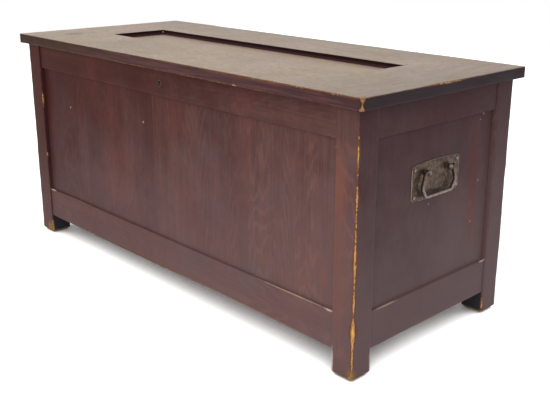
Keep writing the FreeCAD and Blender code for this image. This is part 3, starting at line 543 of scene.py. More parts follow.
LID_WORN = [
    ((0.4, -LID_Y, LID_TOP), (0.6, 0.012, 0.01), 0.28),
    ((0.0, -LID_Y, LID_UNDER), (0.7, 0.012, 0.01), 0.3),
    ((0.253, -LID_Y, LID_UNDER + 0.002), (0.009, 0.012, 0.006), 0.45),
    ((LID_X, -0.01, LID_TOP), (0.012, 0.09, 0.01), 0.45),
]
FOOT = (POST_X, POST_Y, 0.0)
WEAR_LEVEL, WEAR_EDGE = -2.45, 0.9
HALO_STEP, RUBBED_STEP = (-1.0, -0.55), (-0.42, -0.1)
BARE_STEP, GOLD_STEP = (-0.06, 0.1), (0.6, 0.95)


def arris_wear(oak, worn_places, corner=None):
    """How far the top coat and the stain are gone, the ragged noise that breaks both, the wear."""
    ragged = oak.noise((260.0, 260.0, 170.0), 4.0, 0.7)
    patchy = oak.noise((60.0, 60.0, 34.0), 2.0)
    places = oak.sum_of(*((oak.near(centre, size, WEAR_EDGE), more)
                          for centre, size, more in worn_places))
    terms = [(oak.attribute("arris"), 1.0), (ragged, 1.5), (patchy, 0.6), (places, 1.0),
             (WEAR_LEVEL, 1.0)]
    if corner:
        away = oak.vector("SUBTRACT", oak.vector("ABSOLUTE", oak.place), corner)
        terms.append((oak.fall(oak.vector("LENGTH", away), 0.006, 0.03), 0.35))
    worn = oak.sum_of(*terms)
    halo = oak.times(oak.ramp(worn, *HALO_STEP, 0.0, 0.85), oak.ramp(places, 0.2, 0.7))
    rubbed = oak.larger(halo, oak.ramp(worn, *RUBBED_STEP))
    return rubbed, oak.ramp(worn, *BARE_STEP), ragged, worn


# %% [markdown]
# The other marks of one chest's life are rows of a table, each with a centre, a size, a colour and
# a strength: a lighter length of one post, a red streak in an end board, a stain, and small chips
# that show the wood.

# %% Marks of use
GOLD, MID_GOLD, PALE_GOLD = (0.78, 0.45, 0.11), (0.58, 0.32, 0.1), (0.46, 0.26, 0.16)
BROWN_WORN, SCUFF_AND_BOUNCE_LIGHT, ORANGE = (0.22, 0.09, 0.035), (0.3, 0.2, 0.11), (0.15, 0.055, 0.02)
TAN, CHIP, CREAM = (0.4, 0.24, 0.14), (0.34, 0.24, 0.2), (0.6, 0.45, 0.37)
RUSSET, RED_KNOT = (0.24, 0.08, 0.045), (0.2, 0.06, 0.035)
CASE_MARKS = [
    ((0.494, -POST_Y, 0.356), (0.034, 0.006, 0.085), RUSSET, 0.5),
    ((0.5, -POST_Y, 0.2), (0.045, 0.006, 0.17), (0.2, 0.075, 0.05), 0.35),
    ((PANEL_X, 0.122, 0.29), (0.008, 0.02, 0.16), (0.14, 0.02, 0.016), 0.3),
    ((PANEL_X, 0.12, 0.215), (0.006, 0.009, 0.02), RED_KNOT, 0.5),
    ((PANEL_X, 0.119, 0.25), (0.006, 0.008, 0.012), RED_KNOT, 0.5),
    ((0.305, -PANEL_Y, 0.162), (0.024, 0.006, 0.016), RUSSET, 0.25),
    ((0.4125, -PANEL_Y, 0.152), (0.022, 0.006, 0.012), RUSSET, 0.28),
    ((0.46, -PANEL_Y, 0.17), (0.014, 0.006, 0.05), RUSSET, 0.22),
    ((0.481, -RAIL_Y, LEDGE), (0.016, 0.004, 0.0042), CREAM, 1.0),
    ((0.39, -RAIL_Y, LEDGE), (0.12, 0.004, 0.002), (0.5, 0.36, 0.27), 0.75),
    ((-0.36, -RAIL_Y, LEDGE), (0.09, 0.004, 0.0026), (0.2, 0.12, 0.06), 0.5),
    ((0.22, -RAIL_Y, RAIL_LOW), (0.3, 0.006, 0.006), (0.34, 0.26, 0.23), 0.8),
    ((RAIL_X, 0.0, RAIL_LOW), (0.006, 0.17, 0.005), (0.2, 0.15, 0.09), 0.8),
    ((-0.479, -RAIL_Y, LEDGE), (0.016, 0.004, 0.0035), CREAM, 0.95),
    ((RAIL_X, -0.134, LEDGE), (0.004, 0.045, 0.003), CREAM, 0.5),
    ((RAIL_X, 0.167, LEDGE), (0.004, 0.012, 0.003), CREAM, 0.9),
    ((POST_X, -POST_Y, 0.012), (0.014, 0.014, 0.02), (0.25, 0.14, 0.05), 0.75),
    ((INNER_X + 0.001, -POST_Y, 0.024), (0.006, 0.006, 0.042), CREAM, 1.0),
    ((POST_X, -INNER_Y - 0.001, 0.03), (0.006, 0.005, 0.03), CREAM, 0.7),
    ((-0.523, -POST_Y, 0.26), (0.035, 0.006, 0.28), (0.045, 0.018, 0.013), 0.4),
    ((-0.505, -POST_Y, 0.012), (0.016, 0.006, 0.022), (0.3, 0.15, 0.06), 0.8),
]
CASE_CHIPS = [
    ((-0.375, -PANEL_Y, 0.348), 0.0034), ((-0.073, -PANEL_Y, 0.362), 0.0034),
    ((0.485, -PANEL_Y, 0.413), 0.0026), ((-0.419, -RAIL_Y, 0.047), 0.003),
    ((PANEL_X, 0.144, 0.425), 0.0028), ((PANEL_X, 0.135, 0.415), 0.002),
    ((PANEL_X, 0.141, 0.294), 0.0026), ((PANEL_X, 0.124, 0.213), 0.0022),
    ((PANEL_X, -0.016, 0.28), 0.002),
]
LID_MARKS = [
    ((-0.463, -0.14, LID_TOP), (0.03, 0.035, 0.01), (0.16, 0.1, 0.06), 0.5),
    ((-0.378, -HOLE_Y, LID_TOP), (0.022, 0.003, 0.004), (0.6, 0.5, 0.52), 0.6),
    ((-HOLE_X, HOLE_Y, PANEL_TOP + 0.007), (0.004, 0.004, 0.003), CREAM, 0.8),
]
LID_CHIPS = [((0.515, -0.108, LID_TOP), 0.003), ((0.532, -0.102, LID_TOP), 0.0025)]
MARK_EDGE, CHIP_EDGE, CHIP_SHARE = 0.7, 0.5, 0.8


def with_marks(oak, colour, marks, chips, chip_colour, ragged):
    rows = [(centre, size, MARK_EDGE, share, tint) for centre, size, tint, share in marks]
    rows += [(centre, (size,) * 3, CHIP_EDGE, CHIP_SHARE, chip_colour) for centre, size in chips]
    uneven = oak.maths("MULTIPLY_ADD", ragged, 1.4, -0.7)
    return oak.coats(colour, *[(oak.times(oak.near(centre, size, edge, uneven), share), tint)
                               for centre, size, edge, share, tint in rows])


# %% [markdown]
# Inside the chest the oak was never stained. There the formula changes to a plain, dry tan, by
# where the surface is: within the walls, above the underside and below the lid's top. Outside,
# a painted pale haze stands in for the light of the floor and the surroundings: thin at the top
# left, thickest near the floor at the right. The ends get painted shade, and less of the haze.

# %% Case oak
DEEP, WARM, RED_STAIN = (0.052, 0.011, 0.009), (0.102, 0.027, 0.018), (0.12, 0.022, 0.015)
GREYED, RING_LINE, DARK_PORE = (0.062, 0.036, 0.034), (0.2, 0.07, 0.045), (0.012, 0.004, 0.004)
BARE_OAK, DRY_OAK, DRY_ROUGHNESS = (0.33, 0.22, 0.125), (0.2, 0.115, 0.06), 0.78
PAINTED_HAZE_LIGHT, END_PAINTED_SHADE, FOOT_SHADE = (0.48, 0.36, 0.36), (0.042, 0.017, 0.021), (0.03, 0.028, 0.036)
HALF_BOARD, WOOD_RELIEF = 0.005, 0.0002
INSIDE = ((-INNER_X - 0.0255, -INNER_Y - 0.0252, RAIL_LOW - 0.003),
          (INNER_X + 0.0255, INNER_Y + 0.0252, LID_UNDER + 0.0049))
WALLS = ((HALF_BOARD - PANEL_X, HALF_BOARD - PANEL_Y, INSIDE[0][2]),
         (PANEL_X - HALF_BOARD, PANEL_Y - HALF_BOARD, INSIDE[1][2]))


def stained_oak(oak, grain):
    """The dark red-brown stain: deep and warm bands, redder patches, paler rings, dark pores."""
    blotch = oak.noise((7.0, 7.0, 4.0), 4.0, 0.6)
    grey = oak.ramp(oak.noise((6.0, 6.0, 10.0), 4.0, 0.6), 0.5, 0.66)
    to_right = oak.ramp(oak.x, -0.1, 0.35, 0.1, 0.26)
    under_rail = oak.ramp(oak.z, 0.425, 0.435, 1.0, 0.4)
    return oak.coats(
        DEEP, (oak.ramp(grain, 0.36, 0.76), WARM),
        (oak.ramp(blotch, 0.52, 0.7, 0.0, 0.5), RED_STAIN),
        (oak.times(grey, oak.ramp(oak.x, -0.15, 0.2, 0.08, 0.4)), GREYED),
        (oak.times(oak.rings, oak.times(to_right, under_rail)), RING_LINE),
        (oak.fall(oak.pores, 0.36, 0.46, 0.4), DARK_PORE))


def painted_light_and_end_shade(oak, colour):
    """Painted pale haze, most near the floor at the right, and painted shade on the ends."""
    end = oak.ramp(oak.maths("ABSOLUTE", oak.nx), 0.6, 0.8)
    cloud = oak.noise((10.0, 10.0, 7.0), 7.0, 0.72)
    haze_spread = oak.sum_of((oak.z, -1.5), (oak.x, 0.45), (end, -0.17), (cloud, 0.6),
                        (oak.streaks, 0.14), (0.57, 1.0))
    # painted shade darkens the ends, then a painted pale haze stands in for light from the floor
    return oak.coats(colour, (oak.times(end, 0.8), END_PAINTED_SHADE),
                     (oak.ramp(haze_spread, 0.1, 0.95, 0.0, 0.2), PAINTED_HAZE_LIGHT))


def finished_oak(oak, colour, grain, dry, sheen):
    """Colour and sheen as given outside, and dry bare oak where dry is 1."""
    bare = oak.mix(oak.ramp(grain, 0.35, 0.8), DRY_OAK, BARE_OAK)
    height = oak.sum_of((oak.streaks, 0.5), (oak.pores, 0.4))
    roughness = oak.larger(sheen, oak.times(dry, DRY_ROUGHNESS))
    return oak.finish(oak.mix(dry, colour, bare), roughness, height, WOOD_RELIEF)


def case_oak_finish():
    oak = Wood("dark_oak_of_the_case", IOR=1.13)
    grain = oak.sum_of((oak.streaks, 0.5), (oak.bands, 0.5), (oak.tone, 0.18), (-0.09, 1.0))
    inward = oak.fall(oak.vector("DOT_PRODUCT", oak.place, oak.facing), -0.12, -0.06)
    rubbed, bare, ragged, worn = arris_wear(oak, CASE_WORN, FOOT)
    speck = oak.noise((330.0, 330.0, 120.0), 2.0, 0.6)
    gold = oak.coats(BROWN_WORN, (oak.ramp(speck, 0.36, 0.44), PALE_GOLD),
                     (oak.ramp(speck, 0.46, 0.58), MID_GOLD), (oak.ramp(worn, *GOLD_STEP), GOLD))
    # painted shade on the inner sides of the feet, below the rails
    painted_shade_behind_foot = oak.times(oak.fall(oak.z, RAIL_LOW - 0.002, RAIL_LOW, 0.95), inward)
    # downward chamfers of the feet: a scuff, and painted light for the floor's bounce on them
    foot_scuff_and_bounce = oak.times(oak.fall(oak.nz, -0.6, -0.3), oak.fall(oak.z, 0.008, 0.02))
    colour = oak.coats(painted_light_and_end_shade(oak, stained_oak(oak, grain)), (painted_shade_behind_foot, FOOT_SHADE),
                       (rubbed, ORANGE), (bare, gold), (foot_scuff_and_bounce, SCUFF_AND_BOUNCE_LIGHT))
    uneven = oak.sum_of((ragged, 0.55), (oak.streaks, 0.45))
    colour = with_marks(oak, colour, CASE_MARKS, CASE_CHIPS, CHIP, uneven)
    inside = oak.larger(oak.within(*INSIDE), oak.times(oak.within(*WALLS), inward))
    at_top = oak.ramp(oak.z, LID_UNDER - 0.004, LID_UNDER - 0.002)
    rim = oak.times(oak.ramp(oak.nz, 0.5, 0.8), at_top)
    dry = oak.larger(oak.maths("SUBTRACT", inside, rim), 0.0)
    return finished_oak(oak, colour, grain, dry, oak.ramp(oak.streaks, 0.3, 0.8, 0.42, 0.58))


case_oak = case_oak_finish()
print("case oak:", len(case_oak.node_tree.nodes), "nodes")

# %% [markdown]
# The lid's top is the same oak gone dry: sun, dust and cloths have taken the red out of it and left
# a pale brown with a dull sheen. Its edges stayed dark, with a painted dark reflection on their
# ends. The sides of its recess get painted shade, black at the top and lighter low down, where
# the panel throws light on them.

# %% Lid oak
LID_PALE, LID_DULL, LID_GREY = (0.5, 0.38, 0.285), (0.37, 0.275, 0.205), (0.3, 0.235, 0.18)
LID_PINK, LID_YELLOW = (0.48, 0.34, 0.295), (0.46, 0.365, 0.235)
LID_FLECK, LID_RING, LID_PORE = (0.28, 0.2, 0.15), (0.25, 0.17, 0.12), (0.13, 0.09, 0.065)
EDGE_STAIN, EDGE_WARM = (0.06, 0.027, 0.028), (0.104, 0.044, 0.043)
EDGE_OLIVE, PAINTED_END_REFLECTION, RECESS_LOW_BOUNCE_LIGHT = (0.045, 0.022, 0.012), (0.033, 0.023, 0.026), (0.075, 0.03, 0.035)
FRINGE, CORNER_GOLD, LID_CHIP = (0.04, 0.017, 0.009), (0.22, 0.115, 0.05), (0.1, 0.07, 0.06)
CORNER_BARE, CORNER_SPREAD = 0.0021, 0.006
RECESS = ((-HOLE_X - 0.0025, -HOLE_Y - 0.0025, PANEL_TOP - 0.1),
          (HOLE_X + 0.0025, HOLE_Y + 0.0025, LID_TOP - 0.0015))


def bare_corner(oak, ragged):
    """How far the lid's near corner is polished, how far bare, and its fringe of old finish."""
    across = oak.maths("ABSOLUTE", oak.sum_of((oak.x, -1.0), (oak.y, -1.0), (LID_X - LID_Y, 1.0)))
    high = oak.maths("ABSOLUTE", oak.maths("SUBTRACT", oak.z, LID_MIDDLE))
    width = oak.ramp(high, 0.001, 0.012, CORNER_BARE, CORNER_BARE + CORNER_SPREAD)
    inside = oak.sum_of((width, 1.0), (across, -1.0), (ragged, 0.009), (-0.0045, 1.0))
    close = oak.near((LID_X, -LID_Y, LID_MIDDLE), (0.022, 0.022, 0.03), 0.3)
    return [oak.times(oak.ramp(inside, *step), close)
            for step in ((0.0014, 0.003), (-0.0005, 0.0008), (-0.0035, -0.0008))]


def lid_edge(oak):
    """The lid's dark edges, a painted dark reflection on its ends, painted shade in its recess."""
    mottle = oak.noise((9.0, 40.0, 220.0), 4.0, 0.6)
    # painted shade on the recess sides: black at the top, lighter low down where the panel throws
    # light
    recess = oak.mix(oak.ramp(oak.z, PANEL_TOP, LID_TOP - 0.003), RECESS_LOW_BOUNCE_LIGHT, DARK_PORE)
    return oak.coats(EDGE_STAIN, (oak.ramp(mottle, 0.42, 0.62), EDGE_WARM),
                     (oak.fall(oak.x, -0.5, 0.1, 0.85), EDGE_OLIVE),
                     # painted dark reflection on the end edges
                     (oak.ramp(oak.maths("ABSOLUTE", oak.nx), 0.6, 0.9), PAINTED_END_REFLECTION),
                     (oak.within(*RECESS), recess))


def lid_top(oak, mottle, fleck):
    """The pale dry top: its mottle, then pink, yellow and grey clouds, then the grain."""
    cloud = oak.noise((9.0, 9.0, 9.0), 4.0, 0.6)
    patch = oak.grained(6.0, 26.0)
    far = oak.larger(oak.ramp(oak.x, 0.3, 0.56, 0.0, 0.8), oak.ramp(oak.y, 0.0, 0.22, 0.0, 0.5))
    return oak.coats(
        LID_DULL, (oak.ramp(oak.sum_of((mottle, 0.6), (cloud, 0.4)), 0.4, 0.6), LID_PALE),
        (oak.ramp(cloud, 0.46, 0.62, 0.0, 0.7), LID_PINK),
        (oak.ramp(patch, 0.5, 0.62, 0.0, 0.6), LID_YELLOW), (far, LID_GREY),
        (oak.ramp(fleck, 0.46, 0.66, 0.0, 0.6), LID_FLECK), (oak.times(oak.rings, 0.15), LID_RING),
        (oak.fall(oak.pores, 0.36, 0.46, 0.35), LID_PORE),
        (oak.fall(oak.z, PANEL_TOP, PANEL_TOP + 0.004, 0.3), LID_PALE))


def lid_oak_finish():
    oak = Wood("faded_oak_of_the_lid", IOR=1.3)
    grain = oak.sum_of((oak.streaks, 0.5), (oak.bands, 0.5), (oak.tone, 0.1), (-0.05, 1.0))
    up = oak.ramp(oak.nz, 0.75, 0.98)
    mottle, fleck = oak.grained(10.0, 60.0, 5.0, 0.65), oak.grained(60.0, 240.0, 3.0, 0.6)
    rubbed, bare, ragged, _ = arris_wear(oak, LID_WORN)
    polished, corner, fringe = bare_corner(oak, ragged)
    colour = oak.coats(
        oak.mix(up, lid_edge(oak), lid_top(oak, mottle, fleck)), (rubbed, ORANGE), (bare, TAN),
        (oak.times(fringe, oak.maths("SUBTRACT", 1.0, up)), FRINGE),
        (corner, oak.mix(oak.ramp(ragged, 0.42, 0.56), BROWN_WORN, CORNER_GOLD)),
        (polished, oak.mix(oak.ramp(fleck, 0.4, 0.56), CORNER_GOLD, TAN)))
    colour = with_marks(oak, colour, LID_MARKS, LID_CHIPS, LID_CHIP, ragged)
    under = oak.times(oak.within(*INSIDE), oak.fall(oak.nz, -0.9, -0.5))
    oak.feed(oak.shader["Specular IOR Level"], oak.ramp(up, 0.0, 1.0, 0.12, 0.5))
    return finished_oak(oak, colour, grain, under, oak.ramp(mottle, 0.3, 0.7, 0.42, 0.6))


lid_oak = lid_oak_finish()
print("lid oak:", len(lid_oak.node_tree.nodes), "nodes")

# %% [markdown]
# ## Bare softwood underneath
# The bottom boards and their cleats were never meant to be seen. They are sawn softwood, grey-brown
# with age, with wide soft rings.

# %% Bottom wood
SOFT_DARK, SOFT_PALE, GRIME = (0.17, 0.1, 0.055), (0.4, 0.28, 0.17), (0.12, 0.085, 0.06)


def softwood_finish(name):
    wood = Wood(name)
    grain = wood.sum_of((wood.rings, 0.3), (wood.streaks, 0.6), (wood.tone, 0.25))
    grime = wood.ramp(wood.noise((7.0, 7.0, 7.0), 4.0), 0.5, 0.8, 0.0, 0.5)
    colour = wood.coats(SOFT_DARK, (wood.ramp(grain, 0.2, 0.95), SOFT_PALE), (grime, GRIME))
    sheen = wood.ramp(wood.streaks, 0.2, 0.8, 0.7, 0.88)
    return wood.finish(colour, sheen, wood.streaks, 2 * WOOD_RELIEF)


bottom_wood = softwood_finish("bare_softwood")

# %% [markdown]
# ## Metals
# Four metals are on the chest, and each is a base colour under its own skin: beaten iron with a
# brown patina and brighter high spots, rolled steel for the hinges, duller sheet steel for the lock
# and the hidden fasteners, and brass gone grey-brown round the keyhole. One recipe serves them all,
# because they differ only in colours, shine and scale.

# %% Metal finishes
def metal_finish(name, low_colour, high_colour, bright, spots, roughness, relief, metallic):
    metal = Finish(name, Metallic=metallic)
    cloud = metal.noise((spots,) * 3, 5.0, 0.65)
    fine = metal.noise((spots * 9,) * 3)
    # polish on beaten ridges, filed rims and nail heads; a painted highlight on stud tops and the
    # bail's outer face
    high = metal.ramp(metal.attribute("raised"), 0.55, 1.0)
    worn = metal.times(high, metal.ramp(fine, 0.35, 0.65))
    colour = metal.coats(low_colour, (metal.ramp(cloud, 0.38, 0.66), high_colour), (worn, bright))
    shine = metal.ramp(cloud, 0.3, 0.7, *roughness)
    return metal.finish(colour, shine, metal.sum_of((cloud, 1.0), (fine, 0.3)), relief)


STEEL_LOW, STEEL_BRIGHT = (0.12, 0.1, 0.085), (0.5, 0.47, 0.43)
METALS = {
    "handle_iron": ("beaten_iron", (0.05, 0.032, 0.022), (0.112, 0.077, 0.055), (0.36, 0.28, 0.26),
                    90.0, (0.55, 0.4), 0.0003, 0.85),
    "hinge_steel": ("rolled_steel", STEEL_LOW, (0.3, 0.275, 0.25), STEEL_BRIGHT,
                    160.0, (0.5, 0.32), 0.0001, 0.95),
    "lock_steel": ("sheet_steel", (0.15, 0.13, 0.11), (0.33, 0.3, 0.27), STEEL_BRIGHT,
                   120.0, (0.55, 0.4), 0.0001, 0.95),
    "escutcheon_brass": ("tarnished_brass", (0.05, 0.044, 0.044), (0.12, 0.108, 0.098),
                         (0.5, 0.47, 0.35), 300.0, (0.5, 0.35), 0.0001, 0.9),
    "inner_steel": ("plain_steel", STEEL_LOW, (0.28, 0.255, 0.23), STEEL_BRIGHT,
                    200.0, (0.55, 0.4), 0.0001, 0.9),
}
FINISHES = {"case_oak": case_oak, "lid_oak": lid_oak, "bottom_wood": bottom_wood,
            **{slot_name: metal_finish(*row) for slot_name, row in METALS.items()}}


def put_on(piece, finish):
    piece.data.materials.clear()
    piece.data.materials.append(finish)


for name, piece in frame["nodes"].items():
    for place in piece.material_slots:
        place.material = FINISHES[NODE_SLOT[name]]
for name, piece in wood_pieces.items():
    put_on(piece, FINISHES[NODE_SLOT[name]])
print("finishes on", len(frame["nodes"]), "frame parts and", len(wood_pieces), "worn skins")

# %% [markdown]
# ## A beaten plate
# The handle's plate was cut from sheet iron and beaten cold with a ball hammer. Each blow leaves
# a shallow dish a few millimetres wide, and the ridges between dishes are brightened by
# polishing. A bump texture would flatten out in raking light, so the plate's skin is cut into
# small squares and every point is pressed back by the deepest dish over it. A value from 0 in a
# dish to 1 on the filed rim stays with the points for the finish to read.

# %% Beat the plates
SIDES = {"right": 1, "left": -1}
DISH_RADIUS, DISH_DEPTH, DISH_COUNT = 0.0062, 0.00042, 260
SMALLEST_DISH = 0.65
PLATE_SQUARE, RIM_WIDTH = 0.0021, 0.0011
PLATE_FACE_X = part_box("handle_right_plate")[1][0]
FACE_BAND, RIM_BAND = -0.0002, -0.0012
RIDGE_SHINE, RIM_SHINE = 0.6, 0.004
PLATE_SEEDS = {"right": 11, "left": 12}


def hammer_dishes(seed, low, high):
    dice = random.Random(seed)
    return [(dice.uniform(low[1], high[1]), dice.uniform(low[2], high[2]),
             dice.uniform(SMALLEST_DISH, 1.0)) for _ in range(DISH_COUNT)]


def dish_press(dishes, y, z):
    """How deep the deepest dish over a point is."""
    deepest = 0.0
    for dy, dz, share in dishes:
        away = ((y - dy) ** 2 + (z - dz) ** 2) / (DISH_RADIUS * share) ** 2
        if away < 1:
            deepest = max(deepest, share * DISH_DEPTH * (1 - away))
    return deepest


def metal_piece(name, mesh, node):
    piece = stand_in(name, mesh, node)
    put_on(piece, FINISHES[NODE_SLOT[node]])
    return piece


def beat_plate(side, sign):
    node = f"handle_{side}_plate"
    bm = merged_copy(node)
    group = set(bm.verts)
    low, high = extent(group)
    for axis in (1, 2):
        rungs = ladder(low[axis] + RIM_WIDTH, high[axis] - RIM_WIDTH, PLATE_SQUARE)
        slice_across(bm, group, axis, rungs)
    bmesh.ops.triangulate(bm, faces=[f for f in bm.faces if len(f.verts) > 4])
    raised = bm.verts.layers.float.new("raised")
    dishes = hammer_dishes(PLATE_SEEDS[side], low, high)
    for vert in bm.verts:
        height = sign * vert.co.x - PLATE_FACE_X
        if height > FACE_BAND:
            press = dish_press(dishes, vert.co.y, vert.co.z)
            vert.co.x -= sign * press
            inset = min(min(vert.co[i] - low[i], high[i] - vert.co[i]) for i in (1, 2))
            vert[raised] = max(RIDGE_SHINE * (1 - press / DISH_DEPTH), 1 - inset / RIM_SHINE)
        elif height > RIM_BAND:
            vert[raised] = 1.0
    shade(bm)
    return metal_piece(f"{node}_beaten", mesh_of(bm, f"{node}_beaten"), node)


for side, sign in SIDES.items():
    plate = beat_plate(side, sign)
    print(plate.name, len(plate.data.vertices), "points")

# %% [markdown]
# ## Turned studs
# Two round-headed studs carry the bail. Each is a turned form: an outline spun round its axis, with
# a cross hole for the bail's pin. The outline is the frame's own, with enough points to be round.

# %% Studs
STUD_Y, STUD_Z = 0.032, sum(corner[2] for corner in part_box("handle_right_studs")) / 2
STUD_SHANK, STUD_COLLAR, STUD_NECK, STUD_BALL = 0.003, 0.007, 0.0038, 0.0055
STUD_STANDOFF, STUD_INSIDE = 0.007, 0.0187
PIVOT_X = PLATE_FACE_X + STUD_STANDOFF
COLLAR_EDGE = [(STUD_COLLAR, 0.0007), (0.0065, 0.0012), (0.0044, 0.0013)]
BORE_RADIUS, BORE_HALF = 0.00205, 0.007
ROUND, BALL_POINTS = 28, 12
STUD_SHARP, STUD_PAINTED_HIGHLIGHT = math.radians(40), (0.45, 0.4)


def stud_outline():
    start = math.asin(STUD_NECK / STUD_BALL)
    ball = [(STUD_BALL * math.sin(a), STUD_STANDOFF - STUD_BALL * math.cos(a))
            for a in np.linspace(start, math.pi, BALL_POINTS)]
    ball[-1] = (0.0, ball[-1][1])
    return [(0.0, -STUD_INSIDE), (STUD_SHANK, -STUD_INSIDE), (STUD_SHANK, 0.0), (STUD_COLLAR, 0.0),
            *COLLAR_EDGE, *ball]


def spun(bm, outline, turn):
    """Adds a closed turned form; turn takes its axis from Z to where it goes."""
    rings = []
    for radius, height in outline:
        angles = [0.0] if radius == 0 else np.linspace(0, 2 * math.pi, ROUND, endpoint=False)
        places = [(radius * math.cos(a), radius * math.sin(a), height) for a in angles]
        rings.append([bm.verts.new(turn @ Vector(place)) for place in places])
    for low, high in zip(rings, rings[1:]):
        for n, m in zip(range(ROUND), [*range(1, ROUND), 0]):
            corners = [ring[k % len(ring)]
                       for ring, k in ((low, n), (low, m), (high, m), (high, n))]
            bm.faces.new([c for k, c in enumerate(corners) if c is not corners[k - 1]])


def outward_turn(sign, y):
    """Stands a turned form on the plate."""
    facing = Vector((sign, 0, 0)).to_track_quat("Z", "Y").to_matrix().to_4x4()
    return Matrix.Translation((sign * PLATE_FACE_X, y, STUD_Z)) @ facing


def pivot_turn(sign, y, way):
    """Lays a turned form along the bail's pivot."""
    return (Matrix.Translation((sign * PIVOT_X, y, STUD_Z))
            @ Matrix.Rotation(way * math.pi / 2, 4, "X"))


def settled_mesh(holder, *spent):
    """What an object's modifiers make, as a plain mesh; it and the spent objects go."""
    bpy.context.view_layer.update()
    settled = holder.evaluated_get(bpy.context.evaluated_depsgraph_get())
    mesh = bpy.data.meshes.new_from_object(settled)
    for done in (holder, *spent):
        bpy.data.objects.remove(done)
    return mesh


def from_0_to_1(value):
    return max(0.0, min(1.0, value))


def make_studs(side, sign):
    bodies, bores = bmesh.new(), bmesh.new()
    for y in (-STUD_Y, STUD_Y):
        spun(bodies, stud_outline(), outward_turn(sign, y))
        spun(bores, [(0, -BORE_HALF), (BORE_RADIUS, -BORE_HALF), (BORE_RADIUS, BORE_HALF),
                     (0, BORE_HALF)], pivot_turn(sign, y, 1))
    for bm in (bodies, bores):
        bmesh.ops.recalc_face_normals(bm, faces=bm.faces)
    body = placed("stud_bodies", mesh_of(bodies, "stud_bodies"))
    cutting = body.modifiers.new("bore", "BOOLEAN")
    cutting.object = placed("stud_bores", mesh_of(bores, "stud_bores"))
    cutting.solver = "EXACT"
    mesh = settled_mesh(body, cutting.object)
    raised = mesh.attributes.new("raised", "FLOAT", "POINT").data
    for point, value in zip(mesh.vertices, raised):
        # painted highlight: brighter towards the top and the outside of each stud's ball
        outward = abs(point.co.x) - PIVOT_X
        level, gain = STUD_PAINTED_HIGHLIGHT
        value.value = from_0_to_1(level + gain * (outward + point.co.z - STUD_Z) / STUD_BALL)
    mesh.shade_smooth()
    mesh.set_sharp_from_angle(angle=STUD_SHARP)
    return metal_piece(f"handle_{side}_studs_round", mesh, f"handle_{side}_studs")


for side, sign in SIDES.items():
    print(make_studs(side, sign).name, "made")

# %% [markdown]
# ## A forged bail by Geometry Nodes
# The bail is one bar, drawn out square under the hammer, its edges knocked down, and bent hot at
# four corners. A bar along a path is a rule, so a node tree makes it: the path's corners are
# rounded, a bevelled section follows it, and every point is moved a little by noise, as a hammer
# leaves it. What differs from one use to the next, such as the noise's seed, is the tree's input.

# %% Node tree helper
class Recipe(Tree):
    """A Geometry Nodes tree."""

    def __init__(self, name):
        super().__init__(bpy.data.node_groups.new(name, "GeometryNodeTree"))
        for way in ("INPUT", "OUTPUT"):
            self.tree.interface.new_socket("Geometry", in_out=way,
                                           socket_type="NodeSocketGeometry")
        self.points = self.node("NodeGroupInput")

    def size(self, name, kind="Float"):
        """An input that each use of the tree sets."""
        self.tree.interface.new_socket(name, in_out="INPUT", socket_type="NodeSocket" + kind)
        return self.points.node.outputs[name]

    def add(self, kind, feeds=(), **settings):
        """A geometry node, by its short name."""
        return self.node("GeometryNode" + kind, 0, feeds, **settings)

    def xyz(self, x, y, z):
        return self.node("CombineXYZ", 0, enumerate((x, y, z)))

    def end(self, geometry):
        self.feed(self.tree.nodes.new("NodeGroupOutput").inputs[0], geometry)
        return self


def grown(recipe, base_mesh, name, node, **sizes):
    """Runs a tree on a mesh and keeps the result as a piece."""
    holder = placed(name + "_base", base_mesh)
    growth = holder.modifiers.new("growth", "NODES")
    growth.node_group = recipe.tree
    for item in recipe.tree.interface.items_tree:
        if item.in_out == "INPUT" and item.name.lower() in sizes:
            growth[item.identifier] = sizes[item.name.lower()]
    return metal_piece(name, settled_mesh(holder), node)


# %% Bail
BAR_WIDTH, BAR_THICKNESS, BAR_BEVEL, BEND_RADIUS = 0.007, 0.006, 0.0016, 0.0055
BEND_COUNT, BEVEL_COUNT, SECTION_COUNT, BAR_STEP = 6, 2, 26, 0.0016
BLOW_DEPTH, BLOW_LEVEL, BLOW_GRAIN, BLOW_DETAIL = 0.0018, 0.62, 210.0, 1.5
ARM_Y, ARM_FLARE, ARM_DROP, END_RISE = 0.0415, 0.008, 0.027, 0.0035
CORNER_IN, BAIL_DROP = 0.011, 0.044
PIN_RADIUS, PIN_LENGTH, PIN_CHAMFER = 0.002, 0.0145, 0.0004
BAIL_SHARP, BAIL_POLISH_AND_HIGHLIGHT = math.radians(42), (0.35, 0.25, 0.4)
BAIL_SEEDS = {"right": 3.0, "left": 8.0}


